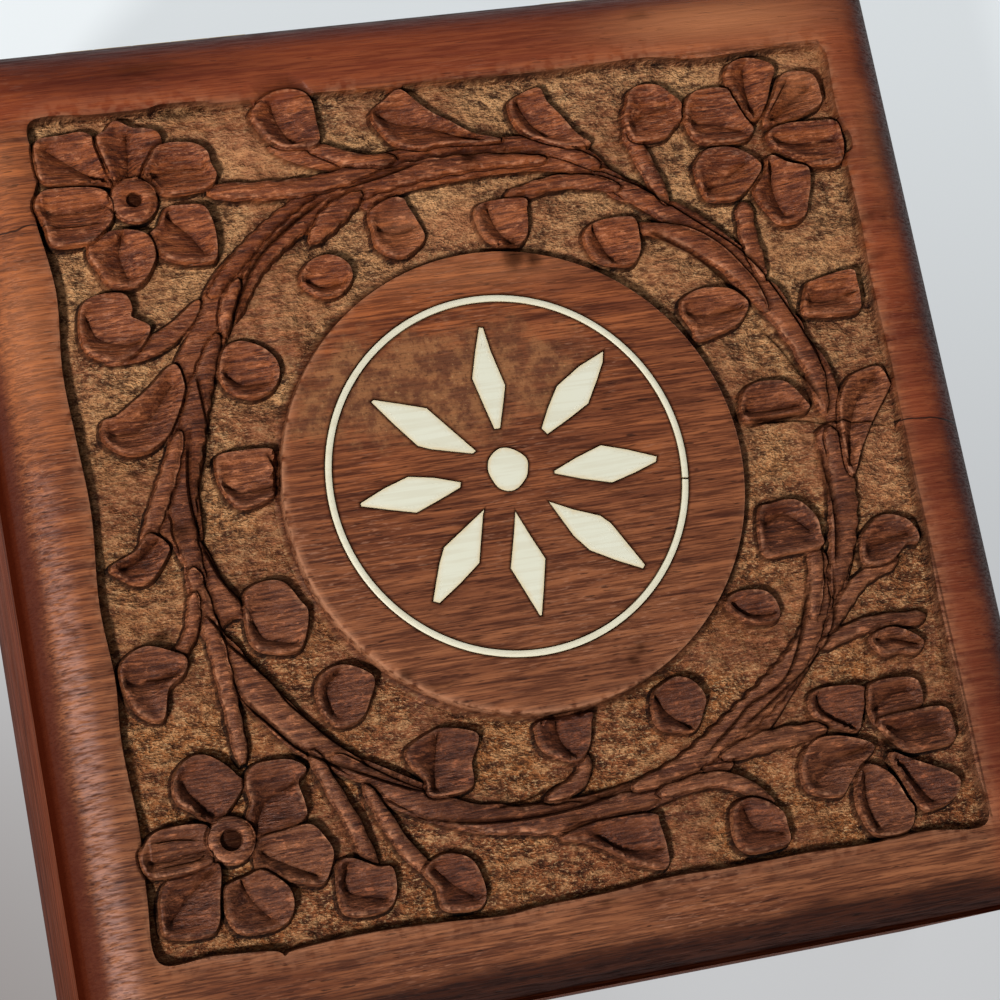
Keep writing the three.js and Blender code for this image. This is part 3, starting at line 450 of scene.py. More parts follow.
leaves = [
    ([(-24.2, 51.2), (-22.2, 52.6), (-19.5, 53), (-17.2, 51.8), (-16.8, 48.6), (-17.1, 45.7), (-21.3, 45.7),
      (-23.1, 46.9), (-24.2, 48.6), (-24.8, 50.1)], [(-22, 51.6), (-21.4, 49), (-20, 46.3)]),
    ([(-9.5, 48.7), (-7.6, 50.4), (-5.5, 51.6), (-3.5, 49.7), (-1.8, 48.1), (0.3, 46.8), (2.9, 45),
      (6.5, 43.6), (-1.2, 43.9), (-3.8, 43.6), (-6.8, 44.4), (-8.4, 46)], [(-8.6, 48.7), (-6, 47.4),
      (-1.5, 46.3), (4, 43.9)]),
    ([(8.5, 47.5), (9, 48.9), (12.6, 50.1), (13.5, 48.1), (15, 46), (16.5, 43.6), (18.2, 41.9), (15, 42),
      (11.2, 43.4), (9.7, 44.5), (8.8, 46)], [(9.8, 48.6), (11, 46), (12.6, 43.9)]),
    ([(24.2, 46.9), (24.8, 48.4), (26.3, 49.1), (28.6, 48.8), (30.1, 47.5), (31.3, 46), (31, 44.2),
      (29.8, 43.1), (28.4, 41.9), (26, 41.6), (24.2, 41.9), (23.6, 43.4), (23.4, 45.1)], [(24.8, 44.2),
      (26.6, 45.4), (29.6, 46.4)]),
    ([(43.4, 19.8), (44.2, 20.4), (49.5, 21.3), (50.1, 19.8), (50.1, 17.2), (49.3, 15.8), (44.2, 15.9),
      (42.2, 16.6)], [(43.6, 18), (46.6, 17.8), (49.6, 18.6)]),
    ([(51.7, 5.8), (50.8, 8), (48.6, 7.9), (46.5, 7), (44.5, 4), (43.9, 0), (43.7, -4), (44.4, -5.4),
      (46, -2.4), (48.4, 1.2), (51.4, 5)], [(50.4, 6.8), (47.4, 4.2), (45.4, 0), (44.3, -4)]),
    ([(44.2, -13.2), (46.9, -11.3), (49.8, -12.1), (51.1, -13.8), (51, -15.3), (49.5, -15.2), (46.9, -17.1),
      (43.6, -17.1), (43.6, -14.5)], [(44.6, -15.4), (47, -14.4), (50.2, -13.8)]),
    ([(42.2, -26.6), (45.4, -25.7), (48.9, -27.8), (47.8, -29.2), (45.6, -28.7), (43.4, -28.9)],
      [(43, -26.8), (45.6, -27), (48.4, -28)]),
    ([(20, -45), (22, -44), (24, -44.6), (26, -46.2), (26.3, -48), (26.2, -50), (24, -50.5), (20.8, -50.4),
      (19.5, -48.5)], [(21.6, -45), (22.6, -47.6), (25.8, -48.7)]),
    ([(-2, -45), (2.4, -43.9), (9.4, -43.9), (10.3, -45.4), (10.4, -50.3), (7.4, -49.8), (5.3, -48.6),
      (2.9, -46.9), (0.3, -45.7)], [(2.6, -45.4), (5.4, -47.6), (10, -48.2)]),
    ([(-15.6, -44.8), (-13.5, -46), (-12.6, -48.9), (-12.9, -51), (-14.4, -51.6), (-17.8, -51),
      (-18.2, -48.4), (-19.4, -46.3), (-17.6, -44.9)], [(-18, -46.2), (-15.8, -48.6), (-13.6, -50.2)]),
    ([(-29.5, -43.6), (-27.8, -43.4), (-25.1, -44.8), (-23.4, -45.1), (-23.1, -46.6), (-23.4, -48.4),
      (-24.5, -49.8), (-27, -50.2), (-29.5, -49.7), (-30.1, -48.1), (-30, -45.6)], [(-28.4, -43.9),
      (-29, -47), (-24.6, -48.6)]),
    ([(-51.6, -17), (-50.1, -15.3), (-47.8, -14.7), (-44.8, -15.9), (-43.6, -16.8), (-44.2, -18.5),
      (-46.3, -20.1), (-47.5, -23.6), (-50.1, -22.5), (-51.3, -19.8)], [(-51, -18.7), (-48, -18.9),
      (-45, -18.2)]),
    ([(-50.7, -4.5), (-50.1, -5.6), (-48.1, -6.9), (-46, -6.5), (-44.2, -4.4), (-43.6, -2.9), (-45.6, -1.2),
      (-47.5, -3)], [(-49.4, -4.9), (-47, -3.9), (-44.8, -2)]),
    ([(-39.5, 19.4), (-42.8, 16.8), (-47.2, 13.8), (-49, 13.3), (-49.2, 11), (-46.9, 9.1), (-44.2, 9.1),
      (-41.6, 10.6), (-40.1, 12.9), (-39.2, 14.7), (-38.6, 16.8)], [(-48, 11.6), (-44, 12.4), (-40, 17)]),
    ([(-49.2, 28.2), (-47.2, 29.1), (-44.2, 28.9), (-43.4, 27.2), (-43.7, 26), (-42.8, 25.4), (-41.6, 24.2),
      (-43.6, 21.6), (-46.4, 20.7), (-49.2, 21.9), (-50, 23.6), (-49.9, 26)], [(-49, 26.4), (-47.8, 24),
      (-45, 22.9), (-42.8, 23)]),
]

# Broad bands of the vine, cut as one mass before the strands on them
bands_of_vine = [
    [(-5, 42.4), (-9.6, 42.4), (-12.9, 41.4), (-15.1, 40.9), (-19.6, 39.2), (-24, 36.5), (-28.4, 33.6),
     (-31.8, 30.9), (-34, 28.1), (-35, 25.7), (-36.9, 22.9), (-39.2, 19.2), (-39.5, 15.7), (-40.6, 11.8),
     (-42.2, 7.5), (-43.8, 3.5), (-45, 0), (-43, -2.5), (-41.8, -5), (-39.6, -3), (-39.2, 0), (-38.9, 4),
     (-37.4, 8.6), (-37, 13), (-36.7, 18), (-34.8, 20.2), (-33, 21.4), (-31.5, 24.2), (-29.6, 27.6),
     (-26.8, 31.2), (-23.6, 34.3), (-20.4, 36.5), (-16, 38.3), (-11.8, 40), (-8, 41.2)],
    [(-9.6, 42.6), (-5, 43.5), (0, 43.8), (6, 43.5), (13.9, 42.4), (17.8, 41.3), (21.1, 37.8), (23.9, 35.8),
     (22.8, 35.2), (18.3, 37.7), (12.8, 39.3), (6.7, 39.7), (0, 39.3), (-5, 38.8), (-9, 38), (-11.8, 36.6),
     (-13, 38), (-11.8, 39.6)],
    [(18.5, 38.6), (21.1, 37.6), (23.9, 35.9), (28.9, 31.4), (33.3, 28), (36.1, 25.2), (38.9, 19.8),
     (41.1, 15.2), (43.9, 9.6), (44.6, 4.5), (43.4, 1.4), (42.4, 3.5), (41.9, 8.5), (40.2, 12),
     (38.1, 15.6), (36.4, 18.2), (34.4, 20.9), (31.1, 25.3), (28.6, 27.4), (28.4, 29.2), (26.4, 31.7),
     (23.9, 33.4), (20, 35)],
    [(41.1, 0.6), (44.6, 1), (46, -2.6), (44, -6.4), (43.5, -10), (43, -13.5), (41.6, -17), (39.7, -20.6),
     (38.2, -23), (38.2, -20), (39.2, -16.7), (40.3, -11), (41.1, -5)],
    [(-41.9, -7.8), (-41.2, -11.1), (-39.6, -16.5), (-38, -21.5), (-35.3, -25.8), (-31.9, -29.8),
     (-28, -32.6), (-23, -35.4), (-18, -37), (-15.5, -37.4), (-20, -34.6), (-25.5, -31.2), (-29.2, -27.6),
     (-31.8, -24.2), (-34.2, -20.8), (-36.8, -17.2), (-39, -14.2), (-37.2, -12.5), (-35.3, -12.6),
     (-36.4, -10.2), (-37.9, -7.8), (-39.4, -3.3), (-41.2, -3)],
    [(-24, -36.6), (-19.6, -39.2), (-15.1, -41.4), (-11.2, -42.8), (-5.3, -43.8), (0, -44.4), (6, -43.9),
     (12, -42.4), (17, -41.4), (21, -39.6), (19.5, -37.6), (16, -38.2), (10, -39.4), (4, -40.4),
     (-1, -40.6), (-6, -40.4), (-11.8, -40.3), (-14, -39.6), (-18, -37.4)],
    [(19, -38.5), (23.3, -34.5), (26.7, -32.3), (30, -29.5), (32.2, -26.8), (34.7, -22.3), (36.4, -17.9),
     (36.9, -14.4), (38.4, -15), (38.6, -19), (38.3, -21.7), (36.2, -25.6), (31.2, -31.1), (26.8, -35.6),
     (23.3, -38.2)],
    [(-47.5, 20.6), (-42.9, 20.7), (-39, 22.2), (-35.7, 25.2), (-35.2, 27.2), (-38.6, 24.8), (-41.9, 23.2),
     (-44, 22.4)],
    [(-23.2, 45.9), (-19.6, 43.6), (-15.1, 42.2), (-9.6, 41.8), (-7.9, 42.6), (-10.1, 43.5), (-15.1, 44.8),
     (-17.3, 46), (-20, 45.6)],
]

# Vine strands and stems: centre line, then width at the start, middle and end
strands = [
    ([(-33.5, 27.5), (-28, 33), (-21, 37.6), (-13, 41), (-4, 43), (5, 43.3), (13, 42), (19, 39)],
      (1, 2, 1)),
    ([(-31, 24.5), (-27, 30.8), (-21, 35.6), (-14, 39), (-5, 40.8), (4, 41.2), (12, 40.6)],
      (0.8, 1.9, 0.8)),
    ([(-32.6, 22.5), (-31.6, 26), (-29.8, 29.2)], (0.8, 1.2, 0.8)),
    ([(-33.5, 22.5), (-36.3, 16.5), (-38.6, 10.5), (-40.6, 4), (-41.2, -2), (-40.3, -8)], (1, 2.4, 1)),
    ([(-40, 11), (-42.3, 5.5), (-44.8, 0.5), (-46.8, -4)], (1, 1.4, 1)),
    ([(-41.8, -9.5), (-39.5, -15), (-36.8, -20), (-33.5, -25), (-29.5, -29.5), (-24.5, -33)], (1, 2.4, 1)),
    ([(-28, -31), (-20, -37), (-13, -40.4), (-5, -42.3), (3, -42.6), (10, -41.6), (17, -39.6)],
      (1, 2.4, 1)),
    ([(3, -35.5), (1.5, -38.5), (-3, -40.2)], (1, 1.2, 0.8)),
    ([(8, -40.5), (15, -38.7), (21, -35.6), (27, -31.8), (32, -27.8), (35.6, -23.2), (38, -18.3)],
      (1, 2.4, 1)),
    ([(38.5, -20.5), (40.8, -15), (42.3, -9.5), (42.8, -4), (42.5, 1)], (1, 2.6, 1.2)),
    ([(42.3, 3), (42, 9), (40, 15), (37.2, 20.5), (33.5, 26), (29, 30.5), (24, 34), (18, 38)], (1, 2.6, 1)),
    ([(21.5, 30.5), (26.5, 29.3), (31, 26.5), (34.8, 22.3), (37.3, 17.5)], (0.8, 1.8, 0.8)),
    ([(-31.6, 41), (-24, 40.4), (-17, 40.6), (-9, 42.4)], (1.6, 1.6, 1)),
    ([(37.2, 32), (37, 27), (37.8, 21.5)], (1.8, 1.6, 1)),
    ([(34, -37), (27, -37.2), (20, -38.4)], (1.6, 1.6, 1)),
    ([(-38.8, -30), (-39.2, -22), (-40, -14), (-41.2, -6)], (1.2, 1.3, 1.2)),
    ([(-18.5, 45.9), (-13, 43.2), (-7.5, 42.6)], (1.4, 1.2, 1)),
    ([(23.7, 43.5), (24.8, 39.8), (27, 33)], (1.6, 1.4, 1)),
    ([(6, 36), (12, 37.4), (17, 37.1), (21, 35.8)], (1.6, 1.2, 0.8)),
    ([(-20, 33), (-16.5, 36.2), (-12.6, 38.6)], (0.8, 1.9, 0.8)),
    ([(48, -17), (43, -18.8), (39.5, -22), (36.5, -25.3)], (1.2, 1.2, 1)),
    ([(50, -24.8), (42, -24.8), (35.5, -26.6)], (1.2, 1.2, 1)),
    ([(25.5, -46), (22.5, -42.6), (18, -40.9), (11, -41.6)], (1, 1.2, 1)),
    ([(-17.4, -48.5), (-19, -46), (-21.5, -42.5), (-24.8, -35)], (1, 1.2, 0.8)),
    ([(-25, -46), (-26.8, -39.5), (-28.6, -35), (-30.5, -30)], (1.2, 1.2, 1)),
    ([(37.4, -13), (36.8, -17.5), (35.2, -23)], (1.4, 1.2, 0.8)),
    ([(-45, -17), (-42.4, -13.5), (-41.4, -9)], (1, 1, 1)),
]

# Flower eyes, where the carver cut a ringed eye: place, ring radius and pit radius
eyes = [
    ((-41, 40.85), 2.8, 0.9), ((-41.7, -38.9), 2.75, 1.25),
]

# Single V cuts: line, width and depth
cuts = [
    ([(-16, 39.2), (-22.2, 35.4), (-27.2, 31.3), (-30.7, 25.4), (-32.2, 21)], 0.8, 0.7),
    ([(-15.6, 39.2), (-9.7, 40.4), (-4.1, 41.9)], 0.5, 0.5),
    ([(-38.4, 11.5), (-39.5, 7.4), (-40, 2.4), (-39.5, -2.4), (-38.4, -6.5), (-36.9, -9.4), (-34.8, -12.9)],
      0.9, 0.7),
    ([(-36.9, 18.2), (-36.6, 13.4), (-36.3, 8.8)], 0.7, 0.5),
    ([(-41.3, -10.6), (-39.5, -13.2), (-37.8, -16.3), (-35.4, -18.9), (-31.9, -23.4), (-30.1, -25.1)],
      0.8, 0.7),
    ([(-38.6, -21), (-35.4, -25.4), (-31, -30.1), (-25.1, -33.4), (-19.2, -36.3), (-16, -37.2)], 0.8, 0.7),
    ([(-20, -39.2), (-17.1, -40.4), (-11.2, -41.6), (-3.5, -41.9), (4.1, -41), (10, -38.9)], 0.8, 0.7),
    ([(-10, -40.3), (-5.9, -39.8), (-2.4, -38.9), (0.3, -38.1)], 0.7, 0.4),
    ([(36.6, -16), (33.4, -24.2), (29.8, -30.1), (24.8, -32.5), (21.9, -34.8), (16, -39.2)], 0.6, 0.5),
    ([(39.2, -16), (37.8, -23.4), (34.8, -27.8), (29.2, -31.6), (21, -36.6)], 0.6, 0.5),
    ([(40.7, -0.6), (41, -6.5), (40.7, -11.8), (39.4, -17.5)], 0.7, 0.6),
    ([(16, 43.9), (19.5, 39.5), (23.9, 35.7), (30.1, 30.4), (36, 25.1), (39.5, 18.9), (42.5, 11.8),
      (44.2, 5.6)], 0.7, 0.6),
    ([(22.8, 30.1), (26.3, 28.1), (29.8, 25.4), (32.8, 22.2), (35.4, 18.9)], 0.6, 0.5),
    ([(36, 15.6), (38.4, 12.4), (41.3, 6.8), (42, 4.1)], 0.6, 0.5),
    ([(14.7, 47.2), (17.6, 42.5)], 0.4, 0.4),
    ([(44.8, 48.9), (42.5, 43.6)], 0.4, 0.4),
    ([(46.6, 48.1), (43, 43.4)], 0.4, 0.4),
    ([(31.9, 3.2), (35.5, 3), (39, 3.1)], 0.7, 0.6),
    ([(-29.9, 7), (-29.1, 4.4), (-29.6, 1)], 0.6, 0.5),
    ([(-44, 37.3), (-38.6, 37.3)], 0.5, 0.5),
    ([(-51.9, 38.2), (-45, 38.3)], 0.25, 0.35),
    ([(-49, -18.6), (-45, -18.7)], 0.4, 0.4),
    ([(-50.8, -40.9), (-46, -40.6), (-44.6, -39.6)], 0.3, 0.3),
    ([(-51.4, -37.9), (-48, -37.9), (-45, -38.4)], 0.3, 0.3),
    ([(31.6, 2.9), (38.9, 2.6), (41.9, 1.9), (45.4, 1.6), (48.1, 1), (51.8, 0.2)], 0.35, 0.5),
    ([(22.2, 7.1), (24.8, 6.5), (29.2, 5.9)], 0.2, 0.25),
    ([(16, 6.3), (18.6, 6), (21.3, 5.6)], 0.2, 0.15),
    ([(-1, -4.6), (-1.2, -12.35)], 0.15, 0.12),
    ([(-15.6, 8.2), (-12.1, 4.4)], 0.15, 0.12),
]

# Dark stains and burnt-looking spots left by old polish: place, radius or reach both ways, strength
stains = [
    ((-8.2, 41.6), 1.2, 0.8), ((1.8, 41.9), 1.4, 0.9), ((6.5, 42.5), 1.1, 0.7), ((-42.2, -1.5), 1.4, 0.8),
    ((-36.9, 6.9), 0.9, 0.9), ((-35.7, -9), 0.8, 0.8), ((5.5, 28.2), 1.6, 0.9), ((7.6, 27.4), 1.2, 0.9),
    ((17.6, 24.4), 0.9, 0.8), ((30.6, 4), 0.8, 0.9), ((12, -23.5), 0.9, 0.7), ((10.6, -25), 0.7, 0.7),
    ((-46, -13.5), 0.9, 0.8), ((-44.8, -35.3), 1, 0.9), ((41.9, -39.8), 0.9, 0.9), ((5.5, 30.3), 0.7, 0.9),
    ((-17.8, -22.8), 0.8, 0.8), ((-8.7, -20.2), 1, 0.5), ((0, -43.6), 1.5, 0.7),
    ((-34.2, 51.6), (2.6, 0.7), 0.85), ((-31, 52.2), (2, 0.4), 0.7), ((-38, 57.4), (3.6, 1.1), 0.5),
    ((-35, 57.9), (2, 0.6), 0.4), ((52.8, 28), (3, 0.7), 0.45), ((53.5, 22.5), (2.4, 0.6), 0.4),
    ((28, 58.8), (1.2, 0.6), 0.5), ((2, -53.6), (1.6, 0.35), 0.6), ((9, -53.6), (1.3, 0.3), 0.6),
    ((-15, -24.6), (2.6, 0.5), 0.45), ((11.2, -23.6), (1.8, 0.4), 0.5), ((-24.5, 14.5), (1.6, 0.5), 0.4),
]

# Broad patches where the polish has darkened, below 0, or worn, above it: place, reach, amount
polish = [
    ((-42, 57), (16, 3.5), -0.25), ((38, 57), (18, 4), 0.3), ((-57, 24), (5, 16), 0.18),
    ((-57, 47), (4, 6), 0.12), ((-57, 5), (4, 5), -0.05), ((-57, -16), (4, 9), 0.04),
    ((-57, -40), (5, 9), -0.06), ((-38, -57), (14, 5), -0.26), ((2, -56), (16, 3), 0.06),
    ((57, -32), (4, 18), -0.1), ((57, 38), (4, 12), 0.14), ((0, 26.5), (20, 3), 0.16),
    ((-8, 17), (16, 4), -0.06), ((0, -26), (20, 4), -0.1), ((-27, 45), (8, 4), 0.2),
    ((0, 33.5), (14, 3), 0.24), ((10, 46), (4, 4), -0.05), ((-5, -48), (12, 3), -0.15),
    ((-50, -51), (6, 3), -0.12), ((-46, -12), (5, 5), -0.08), ((-46, 5), (5, 5), -0.05),
    ((-20, -24), (6, 5), 0.06), ((34, -18), (6, 10), 0.08), ((48, -5), (4, 8), 0.2),
    ((48, 47), (5, 5), 0.2),
]

# The field's edge, cut by hand and a little wavy
field_edge = [
    (-52.3, 51.9), (-44, 52.1), (-38, 52.2), (-36, 52.6), (-30.6, 52.5), (-29.6, 52.1), (-25, 52.1),
    (-16.5, 52.2), (-8, 52), (-2, 52.3), (8, 52.1), (18, 52.3), (27.5, 52.7), (34.2, 51.9), (41, 52.2),
    (48.6, 52.6), (52.2, 51.7), (52.3, 46), (52.4, 42.2), (53.4, 39.4), (53.3, 37.6), (52.2, 35.8),
    (52.3, 26), (52, 18), (52.4, 8), (52.1, -4), (52.3, -14), (52, -24), (52.4, -36), (52.2, -44),
    (52.1, -51.8), (44, -51.6), (36, -52), (28, -51.8), (18, -52), (10.4, -51.9), (2, -52.5), (-6, -52.7),
    (-11, -53.1), (-19, -52.6), (-28, -52.4), (-36.6, -52.9), (-37.6, -53.5), (-39, -52.6), (-46, -52),
    (-52.4, -51.7), (-52.6, -44), (-52.3, -36), (-52.8, -26), (-52.4, -18), (-52.9, -9), (-52.2, 2),
    (-52.6, 11), (-53, 20), (-52.3, 30), (-53.4, 39), (-53.5, 41.6), (-52.3, 45.5),
]


def curve_through(points, closed, step=0.33):
    """A smooth line through given points, re-spaced to an even step."""
    knots = np.array(points, float) * square
    if closed:
        knots = np.vstack([knots[-1], knots, knots[0], knots[1]])
    else:
        knots = np.vstack([2 * knots[0] - knots[1], knots, 2 * knots[-1] - knots[-2]])
    parts = []
    for a, b, c, d in zip(knots, knots[1:], knots[2:], knots[3:]):
        t = np.linspace(0, 1, 12, endpoint=False)[:, None]
        parts.append(0.5 * (2 * b + (c - a) * t + (2 * a - 5 * b + 4 * c - d) * t ** 2
                            + (3 * b - a - 3 * c + d) * t ** 3))
    return respaced(np.vstack(parts + [knots[-2][None]]), step)


def respaced(line, step):
    lengths = np.r_[0, np.cumsum(length(np.diff(line, axis=0)))]
    count = max(2, int(round(lengths[-1] / step)) + 1)
    at = np.linspace(0, lengths[-1], count)
    return np.stack([np.interp(at, lengths, line[:, 0]), np.interp(at, lengths, line[:, 1])], 1)


def length(ways):
    return np.hypot(ways[..., 0], ways[..., 1])


def fading(gap, reach):
    """1 on a line, and less and less away from it."""
    return np.exp(-gap / reach)


def turned_left(outline):
    """The outline closed, with its last point equal to the first, and running anticlockwise."""
    if not np.allclose(outline[0], outline[-1]):
        outline = np.vstack([outline, outline[0]])
    x, y = outline.T
    return outline if np.sum(x[:-1] * y[1:] - x[1:] * y[:-1]) > 0 else outline[::-1]


def nearest(points, line):
    """Distance from each point to a line, how far along it, 0 to 1, and the way to the point."""
    start, span = line[:-1], np.diff(line, axis=0)
    length2 = np.maximum((span ** 2).sum(1), 1e-12)
    best, along, way = np.empty(len(points)), np.empty(len(points)), np.empty((len(points), 2))
    block = 4000
    for first in range(0, len(points), block):
        here = slice(first, first + block)
        p = points[here, None]
        t = np.clip(((p - start) * span).sum(2) / length2, 0, 1)
        offset = p - start - t[..., None] * span
        gap = length(offset)
        near = gap.argmin(1)
        rows = np.arange(len(near))
        best[here], way[here] = gap[rows, near], offset[rows, near]
        along[here] = (near + t[rows, near]) / len(start)
    return best, along, way / np.maximum(best, 1e-6)[:, None]


def inside(points, outline):
    """Which points lie inside a closed outline."""
    x, y = points[:, 0, None], points[:, 1, None]
    (x0, y0), (x1, y1) = outline[:-1].T, outline[1:].T
    crosses = ((y0 > y) != (y1 > y)) & (x < (x1 - x0) * (y - y0) / np.where(y1 == y0, 1e-9, y1 - y0) + x0)
    return crosses.sum(1) % 2 == 1


def smooth_noise(points, size, seed):
    """Seeded value noise, -1 to 1, with bumps about `size` millimetres across."""
    reach = 75
    cells = int(2 * reach / size) + 4
    lattice = np.random.default_rng(seed).uniform(-1, 1, (cells, cells))
    at = (points + reach) / size
    i, j = np.clip(at.astype(int), 0, cells - 2).T
    u, v = (at - np.stack([i, j], 1)).T
    u, v = u * u * (3 - 2 * u), v * v * (3 - 2 * v)
    low = lattice[i, j] * (1 - u) + lattice[i + 1, j] * u
    high = lattice[i, j + 1] * (1 - u) + lattice[i + 1, j + 1] * u
    return low * (1 - v) + high * v


def beside(line, by):
    """The line moved to its left by a length, or by one length a point."""
    along = np.gradient(line, axis=0)
    across = np.stack([-along[:, 1], along[:, 0]], 1) / length(along)[:, None]
    return line + across * np.reshape(by, (-1, 1))


def around(centre, radius, count):
    turn = np.linspace(0, 2 * np.pi, count + 1)
    return np.stack([centre[0] + radius * np.cos(turn), centre[1] + radius * np.sin(turn)], 1)


def grown(outline, by):
    """A closed outline moved outwards by a length, or by a rule of the way out."""
    ring = turned_left(outline)[:-1]
    first, second = ring - np.roll(ring, 1, 0), np.roll(ring, -1, 0) - ring
    first /= length(first)[:, None]
    second /= length(second)[:, None]
    normal = np.stack([first[:, 1] + second[:, 1], -first[:, 0] - second[:, 0]], 1)
    normal /= np.maximum(length(normal), 1e-9)[:, None]
    spread = np.maximum(normal[:, 0] * first[:, 1] - normal[:, 1] * first[:, 0], 0.55)
    moved = ring + normal * ((by(normal) if callable(by) else by) / spread)[:, None]
    return np.vstack([moved, moved[0]])


def off_field(points):
    """From the lid's own frame to the field's turned frame."""
    c, s = math.cos(field_turn), math.sin(field_turn)
    x, y = points[:, 0], points[:, 1]
    return np.stack([x * c + y * s - field_x, -x * s + y * c - field_y], 1)


def onto_lid(points):
    """From the field's turned frame back to the lid's own."""
    c, s = math.cos(field_turn), math.sin(field_turn)
    x, y = points[:, 0] + field_x, points[:, 1] + field_y
    return np.stack([x * c - y * s, x * s + y * c], 1)


def away_from_lamp(way):
    """1 on the back and right sides, away from the window light, and 0 on the others: there the chisel was
    driven in upright, and painted shade and painted highlight are weighted by it.
    """
    way_from_lamp = np.array([0.75, 0.66])
    return 0.5 + 0.5 * np.clip(way @ way_from_lamp, -1, 1)


def wall_reach(way):
    """How far a motif's cut wall runs out, from upright to sloped."""
    return 0.7 - 0.4 * away_from_lamp(way)


def field_reach(way):
    """How far the wall of the field runs in: the front and left walls were chopped upright."""
    return 0.6 - 0.35 * away_from_lamp(way)


def strand_outline(middle, width):
    """The tapered outline round a strand's centre line, and half its width along it."""
    share = np.linspace(0, 1, len(middle))
    start, most, end = (w * square * fullness / 2 for w, fullness in zip(width, (1.1, 1.3, 1.1)))
    ends = start + (end - start) * share
    half = ends + (most - ends) * np.sin(np.pi * share)
    half *= 1 + 0.1 * np.sin(middle[:, 0] * 1.7 + middle[:, 1] * 2.3)
    half *= np.minimum(1, np.minimum(share, 1 - share) * len(share) / 2.5 + 0.3)
    ring = np.vstack([beside(middle, -half), beside(middle, half)[::-1]])
    return turned_left(respaced(np.vstack([ring, ring[0]]), 0.4)), half


# Each motif: its outline, how far its top lies below the lid's, the V cut round it and its tone.
# Broad bands come first, then the strands on them, and the blooms over both
shades = np.random.default_rng(17)
motifs = []
for outline in bands_of_vine:
    motifs.append({"kind": "band", "outline": turned_left(curve_through(outline, True)),
                   "drop": 0.5, "cut": 0.3, "tone": shades.uniform(0.32, 0.46)})
for line, width in strands:
    middle = curve_through(line, False, 0.5)
    outline, half = strand_outline(middle, width)
    motifs.append({"kind": "strand", "outline": outline, "middle": middle, "half": half,
                   "drop": 0.3, "cut": 0.6, "tone": shades.uniform(0.28, 0.55)})
for drawings, drop, depth in ((leaves, 0.25, 1.6), (buds, 0.35, 1.5), (petals, 0.2, 1.65)):
    for outline, valley in drawings:
        motifs.append({"kind": "scooped", "outline": turned_left(curve_through(outline, True)),
                       "valley": curve_through(valley, False, 0.4), "drop": drop, "depth": depth, "cut": 0.7,
                       "tone": shades.uniform(0.2, 0.42) + (0.1 if outline[0][1] > 0 else -0.04)})
for place, ring, pit in eyes:
    place, ring, pit = np.array(place) * square, ring * square, pit * square
    motifs.append({"kind": "eye", "outline": around(place, ring, 46), "place": place, "ring": ring,
                   "pit": pit, "drop": 0.5, "cut": 0.6, "tone": 0.4})
field_line = turned_left(curve_through(field_edge, True, 0.5))

disc_centre, disc_radius, moat_width, disc_drop = (0.25, -0.5), 29.5, 1.0, 0.05
disc_middle = off_field(np.array([disc_centre]))[0]

# Inlay drawing, shared by its pockets and its pieces: lozenges in the field's squares
lozenges = [
    [(-0.9, 19.3), (-0.45, 19.2), (0, 16), (1.03, 11.5), (0.4, 9.4), (-0.6, 6.2), (-1.3, 6.2), (-2.1, 9.4),
     (-2.94, 12.9), (-1.9, 16.4)],
    [(14.4, 14.3), (14.1, 13), (12.8, 10.6), (11.2, 7.9), (8.4, 6.3), (5.3, 4.7), (4.7, 5.5), (6, 8),
     (7.65, 10.6), (11, 12.8)],
    [(18.7, 0), (18.5, -0.6), (15.6, -1.6), (12.35, -2.5), (8.6, -1.5), (5.3, -0.4), (5.3, -0.1),
     (8.4, 1.2), (11.8, 2.35), (15, 1.4)],
    [(3.9, -3.9), (6.8, -5.3), (10, -6.5), (11.2, -7.65), (12.9, -10.6), (14.5, -13.4), (14.2, -13.8),
     (11, -12.3), (7.9, -10.6), (6.2, -8.5), (5.1, -6.3)],
    [(-0.6, -4.6), (0.7, -7.8), (2.05, -10.9), (1.2, -14.4), (0.3, -17.8), (0.1, -17.8), (-1.1, -14.8),
     (-2.45, -11.5), (-1.8, -9.2), (-1.2, -7.05)],
    [(-4.5, -3.8), (-4.75, -4.4), (-5.3, -6.5), (-6.3, -10.3), (-9, -12.4), (-12.05, -14.5), (-12.8, -14.2),
     (-11.9, -11.6), (-11.2, -9.7), (-10.3, -7.8), (-7.4, -5.8)],
    [(-6.8, 0), (-6.95, -0.6), (-9.8, -1.8), (-12.95, -3), (-16.2, -2.2), (-19.6, -1.3), (-19.6, -0.95),
     (-16.4, 0.5), (-13.2, 1.55), (-10, 1)],
    [(-4.2, 3.7), (-4.6, 3.45), (-7.4, 4.1), (-9.85, 4.7), (-11.3, 5.3), (-13.8, 8.4), (-16.1, 11.5),
     (-15.8, 11.7), (-12.6, 10.8), (-9.4, 9.85), (-7, 7)],
]
dot_outline = [
    (2.1, 1.7), (1.9, 0.4), (1.5, -0.5), (0.3, -1.6), (-0.9, -1.85), (-2.1, -1.3), (-2.8, 0), (-3.05, 1.2),
    (-2.6, 2.6), (-1.2, 3.6), (0.2, 3.45), (1.5, 2.6),
]
inlay_clearance, inlay_depth = 0.15, 1.8
ring_centre, ring_radius, ring_width, ring_steps = (-0.68, 0.2), 22.73, 0.8, 240
ring_middle = off_field(np.array([ring_centre]))[0]
lozenge_lines = [np.array(points) * square for points in lozenges]
dot_line = curve_through(dot_outline, True, 0.45)
pocket_lines = [grown(line, inlay_clearance) for line in [*lozenge_lines, dot_line]]
pocket_half = ring_width / 2 + inlay_clearance

groove_half = 0.3
touch = 0.004


def near_line(points, line, margin=1.4):
    """The points close to a line's own box, as indices."""
    low, high = line.min(0) - margin, line.max(0) + margin
    return np.flatnonzero(((points > low) & (points < high)).all(1))


